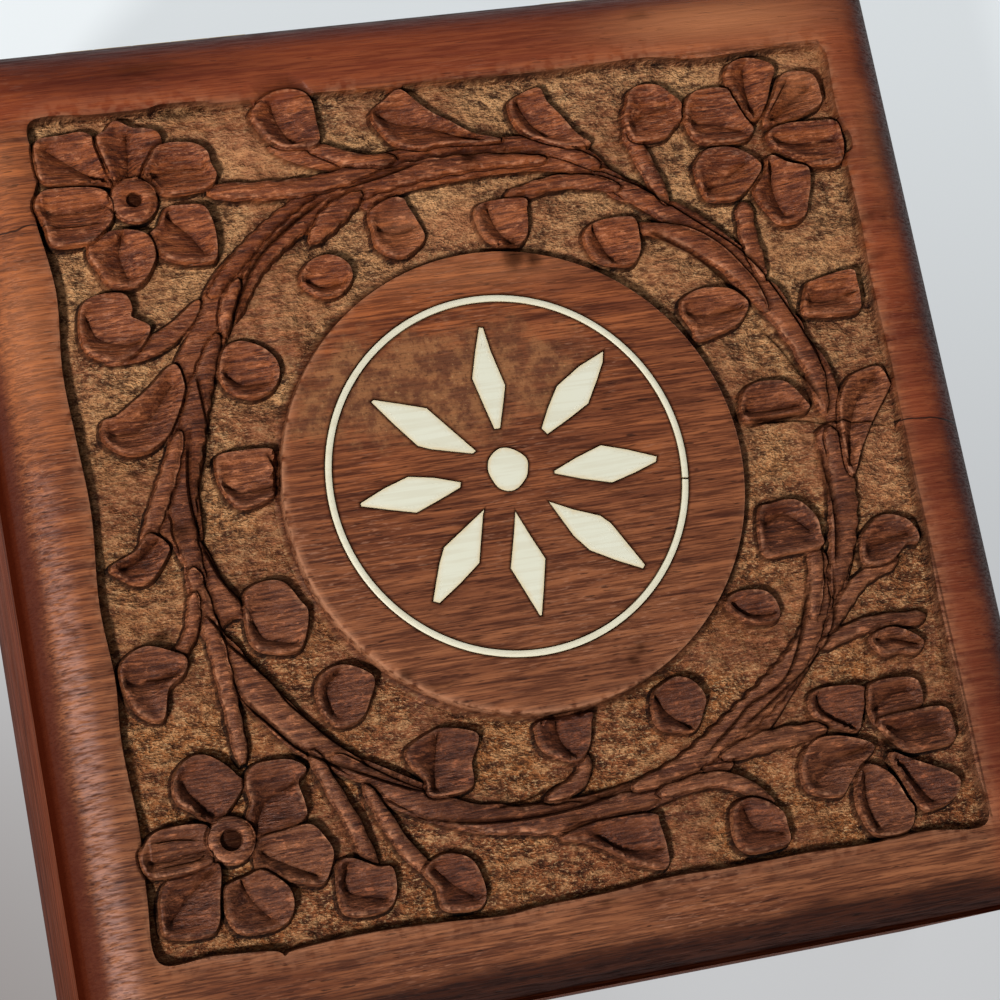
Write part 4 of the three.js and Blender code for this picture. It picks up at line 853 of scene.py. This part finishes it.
def sink_ground(face):
    """The sunk ground, swelling a little, with the marks of a flat gouge and a punch."""
    points = face.points
    gap, _, way = nearest(points, field_line)
    within = inside(points, field_line) & (gap > touch)
    reach = field_reach(way)
    swell = 0.26 * smooth_noise(points, 7, 11) + 0.16 * smooth_noise(points, 3.1, 12)
    punched = 0.2 * smooth_noise(points, 1.3, 13) + 0.13 * smooth_noise(points, 0.75, 14)
    rise = np.exp(-((points[:, 0] + 26) / 4.5) ** 2 - ((points[:, 1] - 25) / 5.5) ** 2)
    face.level = ground_level + swell + punched + 0.45 * rise
    face.height = np.where(within, face.level * np.clip(gap / reach, 0, 1), -0.14 * fading(gap, 0.5))
    torn = np.clip(0.75 + 0.5 * smooth_noise(points, 5, 15), 0.4, 1) * (1 - 0.6 * rise)
    face.ground = np.where(within, np.clip((gap - 0.7 * reach) / (0.25 * reach), 0, 1) * torn, 0.0)
    # painted shadow of the field's wall on the ground, strongest on the sides away from the lamp, over a
    # little dirt
    shaded = (0.12 + 0.8 * away_from_lamp(way) ** 1.5) * fading(np.maximum(gap - reach, 0), 0.5)
    face.grime = np.where(within, shaded, 0.3 * fading(gap, 0.15))
    face.wear = np.where(within, 0.0, 0.4 * fading(gap, 0.5))
    face.tone = np.full(len(points), 0.5)
    face.lean = 0.2 * smooth_noise(points, 9, 24)


def cut_motif(face, motif):
    """One motif, shaped after its kind, and cut round with a V where it meets its neighbours."""
    kind = motif["kind"]
    near = near_line(face.points, motif["outline"])
    p = face.points[near]
    gap, _, way = nearest(p, motif["outline"])
    held = inside(p, motif["outline"]) | (gap < touch)
    facet = 0.05 * smooth_noise(p, 1.3, 21) + 0.06 * smooth_noise(p, 2.6, 22)
    bank = np.minimum(face.lean[near] - motif["drop"], -0.04)
    lip = bank - {"strand": 0.35, "band": 0.2}.get(kind, 0.1)
    # dirt and painted shade in the eye's pit and along a scooped motif's valley
    dirt_and_shade_within = np.zeros(len(near))
    if kind == "strand":
        _, along, _ = nearest(p, motif["middle"])
        half = np.interp(along, np.linspace(0, 1, len(motif["half"])), motif["half"])
        slope = 1 - np.clip(gap / np.maximum(half, 0.05), 0, 1)
        top = bank - 0.35 * slope ** 3 + facet * (1 - slope)
    elif kind == "band":
        top = bank - 0.2 * fading(gap, 0.3) + facet
    elif kind == "eye":
        reach = length(p - motif["place"])
        ring, pit = motif["ring"], motif["pit"]
        top = bank - 0.45 * np.clip(np.abs(reach - (ring + pit) / 2) / ((ring - pit) / 2), 0, 1) ** 2
        pit_level = -1.5 + 0.1 * smooth_noise(p, 0.8, 23)
        top = np.where(reach < pit + touch, pit_level, top) + facet * 0.6
        dirt_and_shade_within = np.clip((pit + 0.12 - reach) / 0.1, 0, 0.9)
    else:
        valley_gap, _, _ = nearest(p, motif["valley"])
        slope = valley_gap / np.maximum(valley_gap + np.maximum(gap - 0.3, 0), 1e-6)
        top = bank - motif["depth"] * (1 - slope) + facet * np.clip(gap, 0, 1) - 0.1 * fading(gap, 0.15)
        dirt_and_shade_within = 0.5 * fading(valley_gap, 0.35)
    beyond = face.height[near]
    v_cut = motif["cut"] * np.clip(1 - np.abs(gap - groove_half) / groove_half, 0, 1)
    wall_width = wall_reach(way)
    slope_down = np.where(gap < wall_width, lip + (face.level[near] - lip) * gap / wall_width, -9)
    around_it = np.maximum(beyond - v_cut * (beyond > ground_level + 0.7), slope_down)
    # dirt in the stop cut round a motif, and the motif's painted shadow on the ground, strongest on the side
    # away from the lamp
    stop_cut_dirt_and_shadow = (0.16 + 0.84 * away_from_lamp(way) ** 1.8) * fading(np.maximum(gap - 0.35, 0), 0.35)
    # painted highlight on the lip of the cut, brightest on the lamp's side
    lit_lip = fading(gap, 0.16) * (0.08 + 0.82 * away_from_lamp(way) ** 3)
    cleared = np.clip(gap / wall_width * 2 - 1, 0, 1)
    face.height[near] = np.where(held, top, around_it)
    face.ground[near] = np.where(held, 0.0, face.ground[near] * cleared)
    face.grime[near] = np.where(held, dirt_and_shade_within, np.maximum(face.grime[near], stop_cut_dirt_and_shadow))
    face.tone[near] = np.where(held, motif["tone"], face.tone[near])
    face.wear[near] = np.where(held, lit_lip, face.wear[near] * 0.4)


def cut_line(face, line, width, depth):
    """One loose V cut or crack, shallower towards its ends."""
    line = curve_through(line, False, 0.5)
    near = near_line(face.points, line)
    gap, along, _ = nearest(face.points[near], line)
    taper = np.clip(np.minimum(along, 1 - along) * 7, 0.15, 1)
    v_cut = depth * taper * np.clip(1 - gap / (width / 2 * taper), 0, 1)
    face.height[near] -= v_cut * np.clip((face.height[near] - ground_level + 0.3) / 0.8, 0, 1)
    # dirt and painted shade down the cut, or the dark of a crack
    face.grime[near] = np.maximum(face.grime[near], taper * np.exp(-(gap / (width * 0.42)) ** 2))


def clear_disc(face):
    """The uncut disc, with the groove round it, the groove's dirt and painted shadow, and a painted
    highlight on the rim toward the lamp.
    """
    offset = face.points - disc_middle
    reach = length(offset)
    moat_away_from_lamp = away_from_lamp(offset / np.maximum(reach, 1e-6)[:, None])
    on_disc = reach <= disc_radius + touch
    moat = ~on_disc & (reach < disc_radius + moat_width)
    share = np.clip((reach - disc_radius) / 0.25, 0, 1)
    rise = np.clip((reach - disc_radius - 0.45) / (moat_width - 0.25), 0, 1) ** 1.5
    moat_floor = ground_level - 0.1 - 0.4 * moat_away_from_lamp
    moat_level = (-disc_drop + (moat_floor + disc_drop) * share) * (1 - rise) + face.height * rise
    from_edge = disc_radius - reach
    disc_level = -disc_drop - 0.1 * fading(from_edge, 0.35) + 0.02 * smooth_noise(face.points, 4, 31)
    # dirt in the groove and the disc's painted shadow, strongest away from the lamp
    moat_grime = np.maximum(face.grime, (0.35 + 0.65 * moat_away_from_lamp) * (1 - rise ** 2))
    face.height = np.where(moat, np.minimum(face.height, moat_level), face.height)
    face.height = np.where(on_disc, disc_level, face.height)
    face.ground = np.where(on_disc | (moat & (rise < 0.5)), 0.0, face.ground)
    face.grime = np.where(on_disc, 0.3 * fading(from_edge, 0.15), np.where(moat, moat_grime, face.grime))
    # painted highlight on the disc's rim toward the lamp
    face.wear = np.where(on_disc, fading(from_edge, 0.3) * (1 - moat_away_from_lamp), np.where(moat, 0, face.wear))


def sink_pockets(face):
    """The pockets of the inlay, with old filler along their edges."""
    from_band = np.abs(length(face.points - ring_middle) - ring_radius) - pocket_half
    sunk = np.clip(-from_band / 0.03, 0, 1)
    face.grime = np.maximum(face.grime, 0.75 * fading(np.maximum(from_band, 0), 0.12))
    for line in pocket_lines:
        near = near_line(face.points, line)
        gap, _, _ = nearest(face.points[near], line)
        held = inside(face.points[near], line) & (gap > touch)
        sunk[near] = np.maximum(sunk[near], np.where(held, np.clip(gap / 0.03, 0, 1), 0))
        face.grime[near] = np.maximum(face.grime[near], np.where(held, 1, 0.85 * fading(gap, 0.16)))
    face.height = face.height * (1 - sunk) - inlay_depth * sunk


def from_place(points, place, reach):
    """How far points lie from a place, counted in its reach."""
    return length((points - np.array(place) * square) / (np.array(reach) * square))


def carved(points):
    """The lid's face at points of the field's frame: its height, and four marks for its finish."""
    face = SimpleNamespace(points=points)
    sink_ground(face)
    for motif in motifs:
        cut_motif(face, motif)
    for line, width, depth in cuts:
        cut_line(face, line, width, depth)
    clear_disc(face)
    sink_pockets(face)
    for place, reach, strength in stains:
        blot = from_place(points, place, reach) * (1 + 0.4 * smooth_noise(points, 0.9, 41))
        face.grime = np.maximum(face.grime, strength * np.exp(-blot ** 3))
    for place, reach, amount in polish:
        face.tone += amount * np.exp(-from_place(points, place, reach) ** 2)
    return face.height, np.clip(np.stack([face.ground, face.grime, face.wear, face.tone], 1), 0, 1)


def lid_loop(inset, radius):
    """A rounded rectangle inside the lid's outline, always with the same points."""
    side_count, back_count, corner_count = 72, 74, 9
    a, b = right - inset, back - inset
    points = []
    for (cx, cy), start, end, count in (
            ((a - radius, b - radius), 0, (radius - a, b), side_count),
            ((radius - a, b - radius), 90, (-a, radius - b), back_count),
            ((radius - a, radius - b), 180, (a - radius, -b), side_count),
            ((a - radius, radius - b), 270, (a, b - radius), back_count)):
        turns = np.radians(start + np.linspace(0, 90, corner_count))
        arc = np.stack([cx + radius * np.cos(turns), cy + radius * np.sin(turns)], 1)
        line = arc[-1] + (np.array(end) - arc[-1]) * np.linspace(0, 1, count + 1)[1:-1, None]
        points += [arc, line]
    return np.vstack(points)


# Lines that the face's mesh follows, so that each cut has a crisp edge
flat_radius = 5.0
flat_loop = lid_loop(roundover, flat_radius)
face_line = np.vstack([off_field(flat_loop), off_field(flat_loop)[0]])
inner_field = grown(field_line, lambda way: -field_reach(-way))
lines = [field_line, inner_field, grown(field_line, 0.45)]
for motif in motifs:
    outline = motif["outline"]
    lines += [outline, grown(outline, 0.12), grown(outline, 0.3)]
    lines += [grown(outline, lambda way: wall_reach(way) + 0.02)]
    lines += [motif[key] for key in ("valley", "middle") if key in motif]
    if motif["kind"] == "eye":
        lines += [around(motif["place"], (motif["ring"] + motif["pit"]) / 2, 40)]
        lines += [around(motif["place"], motif["pit"] + by, 26) for by in (-0.3, 0, 0.08, 0.16)]
for line, width, depth in cuts:
    line = curve_through(line, False, 0.5)
    lines += [line, beside(line, width / 2), beside(line, -width / 2)]
lines += [around(disc_middle, disc_radius + by, count) for by, count in
          ((-1, 200), (-0.35, 300), (0, 300), (0.25, 300), (moat_width, 300))]
for side in (-1, 1):
    lines += [around(ring_middle, ring_radius + side * (pocket_half - by), ring_steps)
              for by in (-0.3, 0, 0.03)]
for line in pocket_lines:
    lines += [line, grown(line, -0.03), grown(line, 0.3)]
# no line leaves the flat face, so that its outer loop keeps its own points
face_limit = grown(face_line, -0.1)
lines = [line if inside(line, face_limit).all() else line[inside(line, face_limit)] for line in lines]
lines = [face_line] + [line for line in lines if len(line) > 1]

# Points between the lines: close in the carving, wide apart on the plain wood,
# and close again where a stain lies on plain wood
near_step, plain_step = 0.4, 1.7
cell, cell_reach, cell_count = 0.1, 63, 1260


def cells_of(points):
    """The cells of a square map that points lie in."""
    return tuple(np.clip(((points + cell_reach) / cell).astype(int), 0, cell_count - 1).T)


def widened(cells, steps):
    """The cells and their neighbours, so many steps out."""
    for _ in range(steps):
        beside_them = [np.roll(cells, way, axis) for way in (-1, 1) for axis in (0, 1)]
        cells = np.any([cells, *beside_them], 0)
    return cells


def scatter(step, reach, seed):
    """Points in staggered rows, each moved a little."""
    axis = np.arange(-reach, reach, step)
    grid = np.stack(np.meshgrid(axis, axis), 2).reshape(-1, 2)
    grid[:, 0] += step / 2 * (np.round((grid[:, 1] + reach) / step).astype(int) % 2)
    return grid + np.random.default_rng(seed).uniform(-0.18, 0.18, grid.shape) * step


def on_plain_wood(points):
    """Which points lie on the border or on the disc."""
    on_disc = length(points - disc_middle) < disc_radius
    return (~inside(points, field_line) | on_disc) & inside(points, grown(face_line, -0.8))


taken = np.zeros((cell_count, cell_count), bool)
for line in lines:
    taken[cells_of(respaced(line, cell))] = True
taken = widened(taken, 2)
wide = widened(taken, 5)
fine = scatter(near_step, 53, 1)
fine = fine[inside(fine, inner_field) & (length(fine - disc_middle) > disc_radius + moat_width)]
plain = scatter(plain_step, 56, 2)
plain = plain[on_plain_wood(plain)]
spots = scatter(near_step, 60, 3)
stained = np.zeros(len(spots), bool)
for place, reach, _ in stains:
    stained |= length((spots - np.array(place) * square) / (np.array(reach) * square + 0.6)) < 1.5
spots = spots[stained & on_plain_wood(spots)]
fine = np.vstack([fine, spots])
fine = fine[~taken[cells_of(fine)]]
wide[cells_of(spots)] = True
plain = plain[~widened(wide, 5)[cells_of(plain)]]


def meshed(lines, loose, kind, exact):
    """Points and triangles of a flat mesh that follows every line, with loose points between."""
    points, edges = [], []
    for line in lines:
        first, closed = len(points), np.allclose(line[0], line[-1])
        points += line[:-1].tolist() if closed else line.tolist()
        edges += [(i, i + 1) for i in range(first, len(points) - 1)]
        if closed:
            edges.append((len(points) - 1, first))
    made = delaunay_2d_cdt([Vector(p) for p in points + loose.tolist()], edges, [], kind, exact, False)
    return np.array([tuple(v) for v in made[0]]), np.array(made[2])


def slivers(points, triangles, rim):
    """Which triangles only join points of one straight side, and so lie outside the rim."""
    corners = points[triangles]
    (ax, ay), (bx, by) = (corners[:, 1] - corners[:, 0]).T, (corners[:, 2] - corners[:, 0]).T
    return np.isin(triangles, rim).all(1) & (np.abs(ax * by - ay * bx) / 2 < 0.002)


def nearest_points(points, wanted):
    return [int(length(points - place).argmin()) for place in wanted]


def band_between(upper, lower):
    """The four-sided faces between two closed rows of points."""
    return list(zip(upper, lower, lower[1:] + lower[:1], upper[1:] + upper[:1]))


def closed_mesh(name, points, faces, layer, marks):
    """A solid of points in millimetres, faces outward, with four marks a point for its finish to read."""
    mesh = bpy.data.meshes.new(name)
    mesh.from_pydata((np.array(points) * mm).tolist(), [], faces)
    colour = mesh.color_attributes.new(layer, "FLOAT_COLOR", "POINT")
    colour.data.foreach_set("color", np.array(marks, np.float32).ravel())
    made = new_object(name, mesh)
    only(made)
    bpy.ops.object.mode_set(mode="EDIT")
    bpy.ops.mesh.select_all(action="SELECT")
    bpy.ops.mesh.normals_make_consistent(inside=False)
    bpy.ops.object.mode_set(mode="OBJECT")
    return made


# The roundover, side and underside are bands of the flat face's loop, down to a sawn edge
face_points, triangles = meshed(lines, np.vstack([fine, plain]), 0, 1e-5)
height, face_marks = carved(face_points)
on_lid = onto_lid(face_points)
row = nearest_points(on_lid, flat_loop)
height[row] = 0.0
faces = triangles[~slivers(on_lid, triangles, row)].tolist()
vertices, marks = [np.column_stack([on_lid, height])], [face_marks]
bands, round_steps, underside_arris = [], 14, 0.35
for step in range(1, round_steps + 1):
    turn = math.radians(90 * step / round_steps)
    short, fallen = 1 - math.sin(turn), 1 - math.cos(turn)
    bands.append((roundover * short, corner_radius + short, -roundover * fallen))
bands += [(inset, corner_radius, z) for inset, z in
          ((0, -10.5), (0, -13.4), (0, underside_arris - lid_thickness), (0.1, 0.1 - lid_thickness),
           (underside_arris, -lid_thickness))]
total = len(face_points)
for inset, radius, z in bands:
    loop = lid_loop(inset, radius)
    vertices.append(np.column_stack([loop, np.full(len(loop), z)]))
    marks.append(carved(off_field(loop))[1] * (0, 1, 0, 1))
    upper, row = row, list(range(total, total + len(loop)))
    faces += band_between(upper, row)
    total += len(loop)
faces.append(row[::-1])
vertices = np.vstack(vertices) + (0, 0, lid_top)
carved_lid = closed_mesh("carved_lid", vertices, faces, "carving", np.vstack(marks))
cut_seats(carved_lid, body_height - past, body_height + seat_depth)
only(carved_lid)
bpy.ops.object.shade_smooth_by_angle(angle=math.radians(50))

wood = Finish("carved_sheesham")
figure, _, fibre, pore = grain(wood, "x", (0.05, 0.33, 0.21), deep=0.35, fine=4000)
x, y, z = wood.apart()
carving = wood.node("VertexColor", layer_name="carving")
is_ground, is_grime, is_wear = wood.node("SeparateColor", {"Color": carving.outputs["Color"]}).outputs[:3]
tone_of = carving.outputs["Alpha"]
drift = wood.drift(0.05, 38)
upper = wood.step(wood.plus(y, drift), -0.035, 0.045)
dark, middle, light = (wood.mix(upper, srgb(*front), srgb(*rear)) for front, rear in (
    ((76, 38, 24), (82, 35, 18)), ((122, 72, 46), (130, 68, 37)), ((152, 96, 63), (172, 96, 51))))
wood.colour = wood.mix(figure, wood.mix(0.45, middle, dark), middle)
streaked = wood.stretched((0.03, 1, 0.35))
thin_streak = wood.step(wood.noise(1300, place=streaked), 0.38, 0.62)
dark_streak = wood.step(wood.noise(1050, 4, 0.6, place=streaked), 0.47, 0.37)
wood.lay(light, thin_streak, 0.65)
wood.lay(dark, dark_streak, 0.5)
wood.lay(srgb(110, 70, 56), fibre, 0.7, blend="MULTIPLY")
wood.lay(srgb(34, 14, 8), pore, 0.7)

# cut surfaces are nicked and torn along the grain, the plain border and the disc are smooth
off_centre = wood.away((0.0002, -0.0005, lid_top * mm))
in_field = wood.times(
    wood.step(wood.maths("ABSOLUTE", x), 0.0524, 0.052),
    wood.step(wood.maths("ABSOLUTE", y), 0.0524, 0.052),
    wood.step(off_centre, 0.0294, 0.0298),
    wood.step(z, (lid_top - 6) * mm, (lid_top - 5) * mm))
nick = wood.noise(1700, 4, 0.72, place=wood.stretched((0.28, 1, 0.6)))
wood.lay(srgb(140, 100, 86), in_field, wood.step(nick, 0.46, 0.34), 0.65, blend="MULTIPLY")
wood.lay(srgb(216, 138, 94), in_field, wood.step(nick, 0.54, 0.68), 0.55)

# the border is scuffed in places, and redder along the back and the right
scuff = wood.step(wood.noise(3600, 2, place=wood.stretched((0.15, 1, 1), turn=0.6)), 0.56, 0.68)
wood.lay(srgb(176, 124, 96), scuff, wood.step(wood.noise(60, 2), 0.45, 0.65), 0.35)
outer_side = wood.step(z, (body_height + 0.05) * mm, (body_height + 0.4) * mm)
red_edge = wood.most(wood.step(y, 0.0505, 0.0545), wood.step(x, 0.0505, 0.0545))
red_wood = wood.mix(wood.times(figure, 0.7), srgb(98, 36, 19), srgb(146, 66, 36))
wood.lay(red_wood, red_edge, outer_side, 0.62)

# on the disc, the finish is rubbed through to duller, speckled wood toward the upper left
rubbed_place = wood.stretched((0.46, 1.2, 0), shift=(0.0038, -0.0156, 0))
rubbed = wood.node("VectorMath", {0: rubbed_place}, operation="LENGTH").outputs["Value"]
rubbed = wood.step(wood.plus(rubbed, wood.drift(0.016, 260, 4, 0.6)), 0.0115, 0.005)
grit = wood.noise(1900, 4, 0.75)
dull = wood.step(wood.noise(420, 4, 0.65), 0.4, 0.6)
dull = wood.spotted(
    wood.mix(dull, srgb(96, 58, 38), srgb(146, 98, 62)),
    (grit, 0.52, 0.66, 0.75, srgb(64, 38, 24)), (grit, 0.4, 0.3, 0.6, srgb(190, 146, 98)))
wood.lay(dull, rubbed, wood.step(off_centre, 0.0296, 0.029), 0.78)

# dry dust, crumbs and old polish lie in the sunk ground
low_grain = wood.stretched((0.5, 1, 0.4))
speck, clump, cloud, sand = (wood.noise(scale, detail, rough, place=low_grain) for scale, detail, rough in (
    (1700, 3, 0.7), (900, 3, 0.6), (150, 4, 0.6), (4200, 2, 0.6)))
dust = wood.spotted(
    wood.mix(upper, srgb(160, 98, 52), srgb(216, 160, 108)),
    (cloud, 0.4, 0.62, 0.65, srgb(130, 72, 44)), (clump, 0.5, 0.38, 0.4, srgb(228, 176, 122)),
    (clump, 0.5, 0.64, 0.8, srgb(62, 31, 17)), (speck, 0.48, 0.62, 0.58, srgb(48, 23, 13)),
    (sand, 0.45, 0.35, 0.5, srgb(236, 190, 138)), (sand, 0.55, 0.65, 0.45, srgb(48, 24, 12)))
wood.lay(dust, is_ground)

# each motif is a little darker or lighter; its lips get wear and a painted highlight, its cuts dirt and
# painted shade, and two drying cracks are dark
wood.lay(srgb(156, 120, 102), wood.step(tone_of, 0.5, 0.1), 0.75, blend="MULTIPLY")
wood.lay(srgb(200, 132, 88), wood.step(tone_of, 0.5, 0.9), 0.6)
# the painted highlight along the lips shows in broken patches over their wear
lip_highlight_patches = wood.step(wood.noise(700, 2), 0.35, 0.55)
wood.lay(srgb(212, 148, 110), is_wear, lip_highlight_patches, 0.75)
crack_y = wood.plus(y, wood.drift(0.003, 120))
from_left_crack = wood.maths("ABSOLUTE", wood.plus(crack_y, -0.0388))
left_crack = wood.times(
    wood.step(from_left_crack, 0.00016, 0.00005), wood.step(x, -0.05, -0.052))
from_right_crack = wood.maths("ABSOLUTE", wood.plus(crack_y, wood.times(x, 0.12), -0.0062))
right_crack = wood.times(wood.step(from_right_crack, 0.00018, 0.00005), wood.step(x, 0.05, 0.052))
cracked = wood.most(left_crack, right_crack)
# dirt and painted shade in the cuts, creases and groove, and the two cracks, darkened
wood.lay(srgb(28, 12, 7), wood.most(is_grime, cracked), 0.9)

# the sides are darker down from the top and at each edge, deep red brown low on the left, and a pale streaky
# band along the left edge is a painted highlight of the lamp's reflection
uneven = wood.drift(0.003, 90)
uneven_x, uneven_y = wood.plus(x, uneven), wood.plus(y, uneven)
side_darkening = wood.step(z, (lid_top - 0.7) * mm, (lid_top - 5.5) * mm)
wood.lay(srgb(160, 134, 120), side_darkening, outer_side, 0.9, blend="MULTIPLY")
wood.lay(srgb(74, 29, 16), wood.step(uneven_x, -0.0589, -0.0608), outer_side, 0.85)
hatch = wood.noise(2900, place=wood.stretched((0.12, 1, 0.3), turn=1.0))
# painted highlight: a pale streaky band where the lamp reflects off the left edge
left_edge_highlight = wood.times(
    wood.step(x, -0.0552, -0.0574), wood.step(x, -0.0599, -0.0584),
    wood.step(wood.plus(y, drift), 0.012, -0.012), wood.step(hatch, 0.36, 0.62))
wood.lay(srgb(196, 152, 140), left_edge_highlight, 0.28)
# each edge of the lid is darker or tinted by a multiplied colour
for place, low, high, edge_darkening in ((uneven_y, -0.0574, -0.0604, srgb(128, 114, 116)),
                                (uneven_y, 0.0585, 0.0615, srgb(200, 160, 130)),
                                (uneven_x, 0.0562, 0.0595, srgb(172, 148, 140))):
    wood.lay(edge_darkening, wood.step(place, low, high), outer_side, blend="MULTIPLY")
left_side = wood.step(z, (lid_top - 4.5) * mm, (lid_top - 7.5) * mm)
wood.lay(srgb(214, 186, 170), left_side, wood.step(x, -0.058, -0.06), blend="MULTIPLY")

# the wax shines on top and not on the sides or where dirt and painted shade lie; fibres, nicks and dust make
# the surface rough
satin = wood.scaled(fibre, 0.4, 0.62)
sheen = wood.times(
    wood.scaled(z, 0.0, 0.17, (lid_top - 5) * mm, (lid_top - 1.5) * mm),
    wood.scaled(in_field, 1.0, 1.4), wood.scaled(is_grime, 1.0, 0.0))
wood_relief = wood.plus(wood.times(fibre, 0.22), wood.times(pore, 0.5),
                               wood.times(in_field, nick, -5.0))
dust_relief = wood.plus(wood.times(speck, 12.0), wood.times(clump, 17.0),
                               wood.times(sand, 5.0))
wood.close(wood.between(is_ground, satin, 0.9), specular=sheen, invert=True,
                  height=wood.between(is_ground, wood_relief, dust_relief), distance=0.00011, strength=0.9)
finish_piece(carved_lid, wood.material, "lid", "lid_board")

# Inlay
# Eight lozenges, a dot and a thin bent ring of cream bone, let into pockets in
# the disc and sanded flush; filler has stained their edges.
bone = Finish("aged_bone")
hair = bone.noise(1800, 2, place=bone.stretched((0.05, 1, 1)))
old_stain = bone.step(bone.noise(900, 4, 0.65), 0.68, 0.78)
near_edge = bone.node("VertexColor", layer_name="edge").outputs["Color"]
bone.colour = bone.mix(bone.noise(120), srgb(211, 210, 188), srgb(219, 219, 202))
bone.lay(srgb(196, 188, 162), bone.step(hair, 0.45, 0.65), 0.3)
bone.lay(srgb(206, 176, 122), near_edge, 0.6)
bone.lay(srgb(120, 72, 34), old_stain, near_edge, 0.8)
bone.close(0.42, height=hair, distance=0.00002, strength=0.3)
inlay_top, inlay_low = lid_top - 0.02, lid_top - inlay_depth + 0.02


def bone_piece(name, cad_node, points, faces, edge):
    """A closed bone piece from its points in millimetres, with how near each is to an edge."""
    made = closed_mesh(name, points, faces, "edge", np.column_stack([edge, edge, edge, np.ones(len(edge))]))
    bpy.ops.object.shade_smooth_by_angle(angle=math.radians(40))
    finish_piece(made, bone.material, "lid", cad_node)


def inlay_plate(name, cad_node, outline):
    """A flat plate of bone: its top meshed inside its outline, its edge a touch rounded."""
    ring = turned_left(outline)
    grid = scatter(0.5, 25, 5)
    grid = grid[inside(grid, ring) & (nearest(grid, ring)[0] > 0.15)]
    flat, triangles = meshed([ring], grid, 1, 1e-6)
    rim = nearest_points(flat, ring[:-1])
    kept = inside(flat[triangles].mean(1), ring) & ~slivers(flat, triangles, rim)
    gap = nearest(flat, ring)[0]
    foot = onto_lid(ring[:-1])
    points = np.vstack([np.column_stack([onto_lid(flat), inlay_top - 0.03 * fading(gap, 0.08)]),
                        np.column_stack([foot, np.full(len(foot), inlay_low)])])
    lower = list(range(len(flat), len(points)))
    faces = triangles[kept].tolist() + band_between(rim, lower) + [lower[::-1]]
    bone_piece(name, cad_node, points, faces, np.r_[fading(gap, 0.2), np.ones(len(foot))])


for number, line in enumerate(lozenge_lines, 1):
    inlay_plate(f"lozenge_{number}", f"inlay_petal_{number}", line)
inlay_plate("centre_dot", "inlay_dot", dot_line)

# the ring is one strip, bent round until its ends all but meet
ring_end_gap = 0.3
half_gap = ring_end_gap / ring_radius / 2
turns = math.radians(-9) + np.linspace(half_gap, 2 * math.pi - half_gap, ring_steps)
inner, outer, arris = ring_radius - ring_width / 2, ring_radius + ring_width / 2, 0.06
profile = [(inner, inlay_low), (outer, inlay_low), (outer, inlay_top - 0.05), (outer - arris, inlay_top),
           (inner + arris, inlay_top), (inner, inlay_top - 0.05)]
points, faces, corners = [], [], len(profile)
for number, turn in enumerate(turns):
    way = np.array([math.cos(turn), math.sin(turn)])
    points += [(*onto_lid((ring_middle + way * reach)[None])[0], height) for reach, height in profile]
    row = list(range(number * corners, (number + 1) * corners))
    if number:
        faces += band_between([i - corners for i in row], row)
faces += [list(range(corners)), row[::-1]]
bone_piece("bone_ring", "inlay_ring", points, faces, np.array([1, 1, 1, 0.25, 0.25, 1] * ring_steps))

# Table, light and camera
# A pale table under soft light from the left, and the camera held over the lid.
bpy.ops.mesh.primitive_plane_add(size=6, location=(0, 0, 0))
table = bpy.context.object
table.name = "table_top"
pale = Finish("pale_table")
# the table is painted darker toward the front as painted shade of falling light, and a grey patch by the
# box's front left is a painted shadow
pale.colour = pale.mix(pale.step(pale.apart()[1], -0.1, 0.12), srgb(196, 197, 199), srgb(240, 246, 249))
pale.lay(srgb(200, 204, 206), pale.noise(9, 2), 0.1)
pale.lay(srgb(146, 140, 138), pale.step(pale.away((-0.11, -0.085, 0)), 0.15, 0.03))
pale.close(0.7)
# seen directly, the table mostly glows in this colour, its painted shade and shadow included, so the real
# shadow on it stays faint
ray = pale.node("LightPath").outputs
seen = pale.most(pale.most(ray["Is Camera Ray"], ray["Is Glossy Ray"]), ray["Is Transmission Ray"])
even = pale.node("Emission", {"Color": pale.colour})
both = pale.node("MixShader", {0: pale.times(seen, 0.75), 1: pale.shader.outputs[0], 2: even.outputs[0]})
pale.feed(pale.tree.nodes["Material Output"], "Surface", both.outputs[0])
table.data.materials.append(pale.material)

world = bpy.data.worlds.new("studio")
bpy.context.scene.world = world
world.use_nodes = True
world.node_tree.nodes["Background"].inputs["Color"].default_value = (0.97, 0.98, 1.0, 1)
world.node_tree.nodes["Background"].inputs["Strength"].default_value = 0.22
for name, place, size, power, shade in (
        ("window_light", (-0.71, -0.49, 0.93), 0.16, 17.6, (1.0, 0.985, 0.965)),
        ("room_light", (0.5, 0.6, 0.9), 0.8, 1.5, (0.95, 0.97, 1.0))):
    lamp = bpy.data.lights.new(name, "AREA")
    lamp.shape, lamp.size, lamp.energy, lamp.color = "DISK", size, power, shade
    holder = new_object(name, lamp)
    holder.location = place
    holder.rotation_euler = (Vector((0, 0, 0.04)) - Vector(place)).to_track_quat("-Z", "Y").to_euler()

camera_place = Vector((-0.08819, -0.06698, 0.38767))
ahead = Vector((0.24648, 0.18419, -0.95148)).normalized()
across = ahead.cross(Vector((0.14053, 0.96461, 0.22313))).normalized()
upward = across.cross(ahead).normalized()
lens = bpy.data.cameras.new("camera")
lens.lens, lens.sensor_width, lens.sensor_fit = 100.9, 36, "AUTO"
lens.clip_start = 0.01
camera = new_object("camera", lens)
turn = Matrix((across, upward, -ahead)).transposed().to_4x4()
camera.matrix_world = Matrix.Translation(camera_place) @ turn
bpy.context.scene.camera = camera
bpy.context.scene.view_settings.view_transform = "Standard"
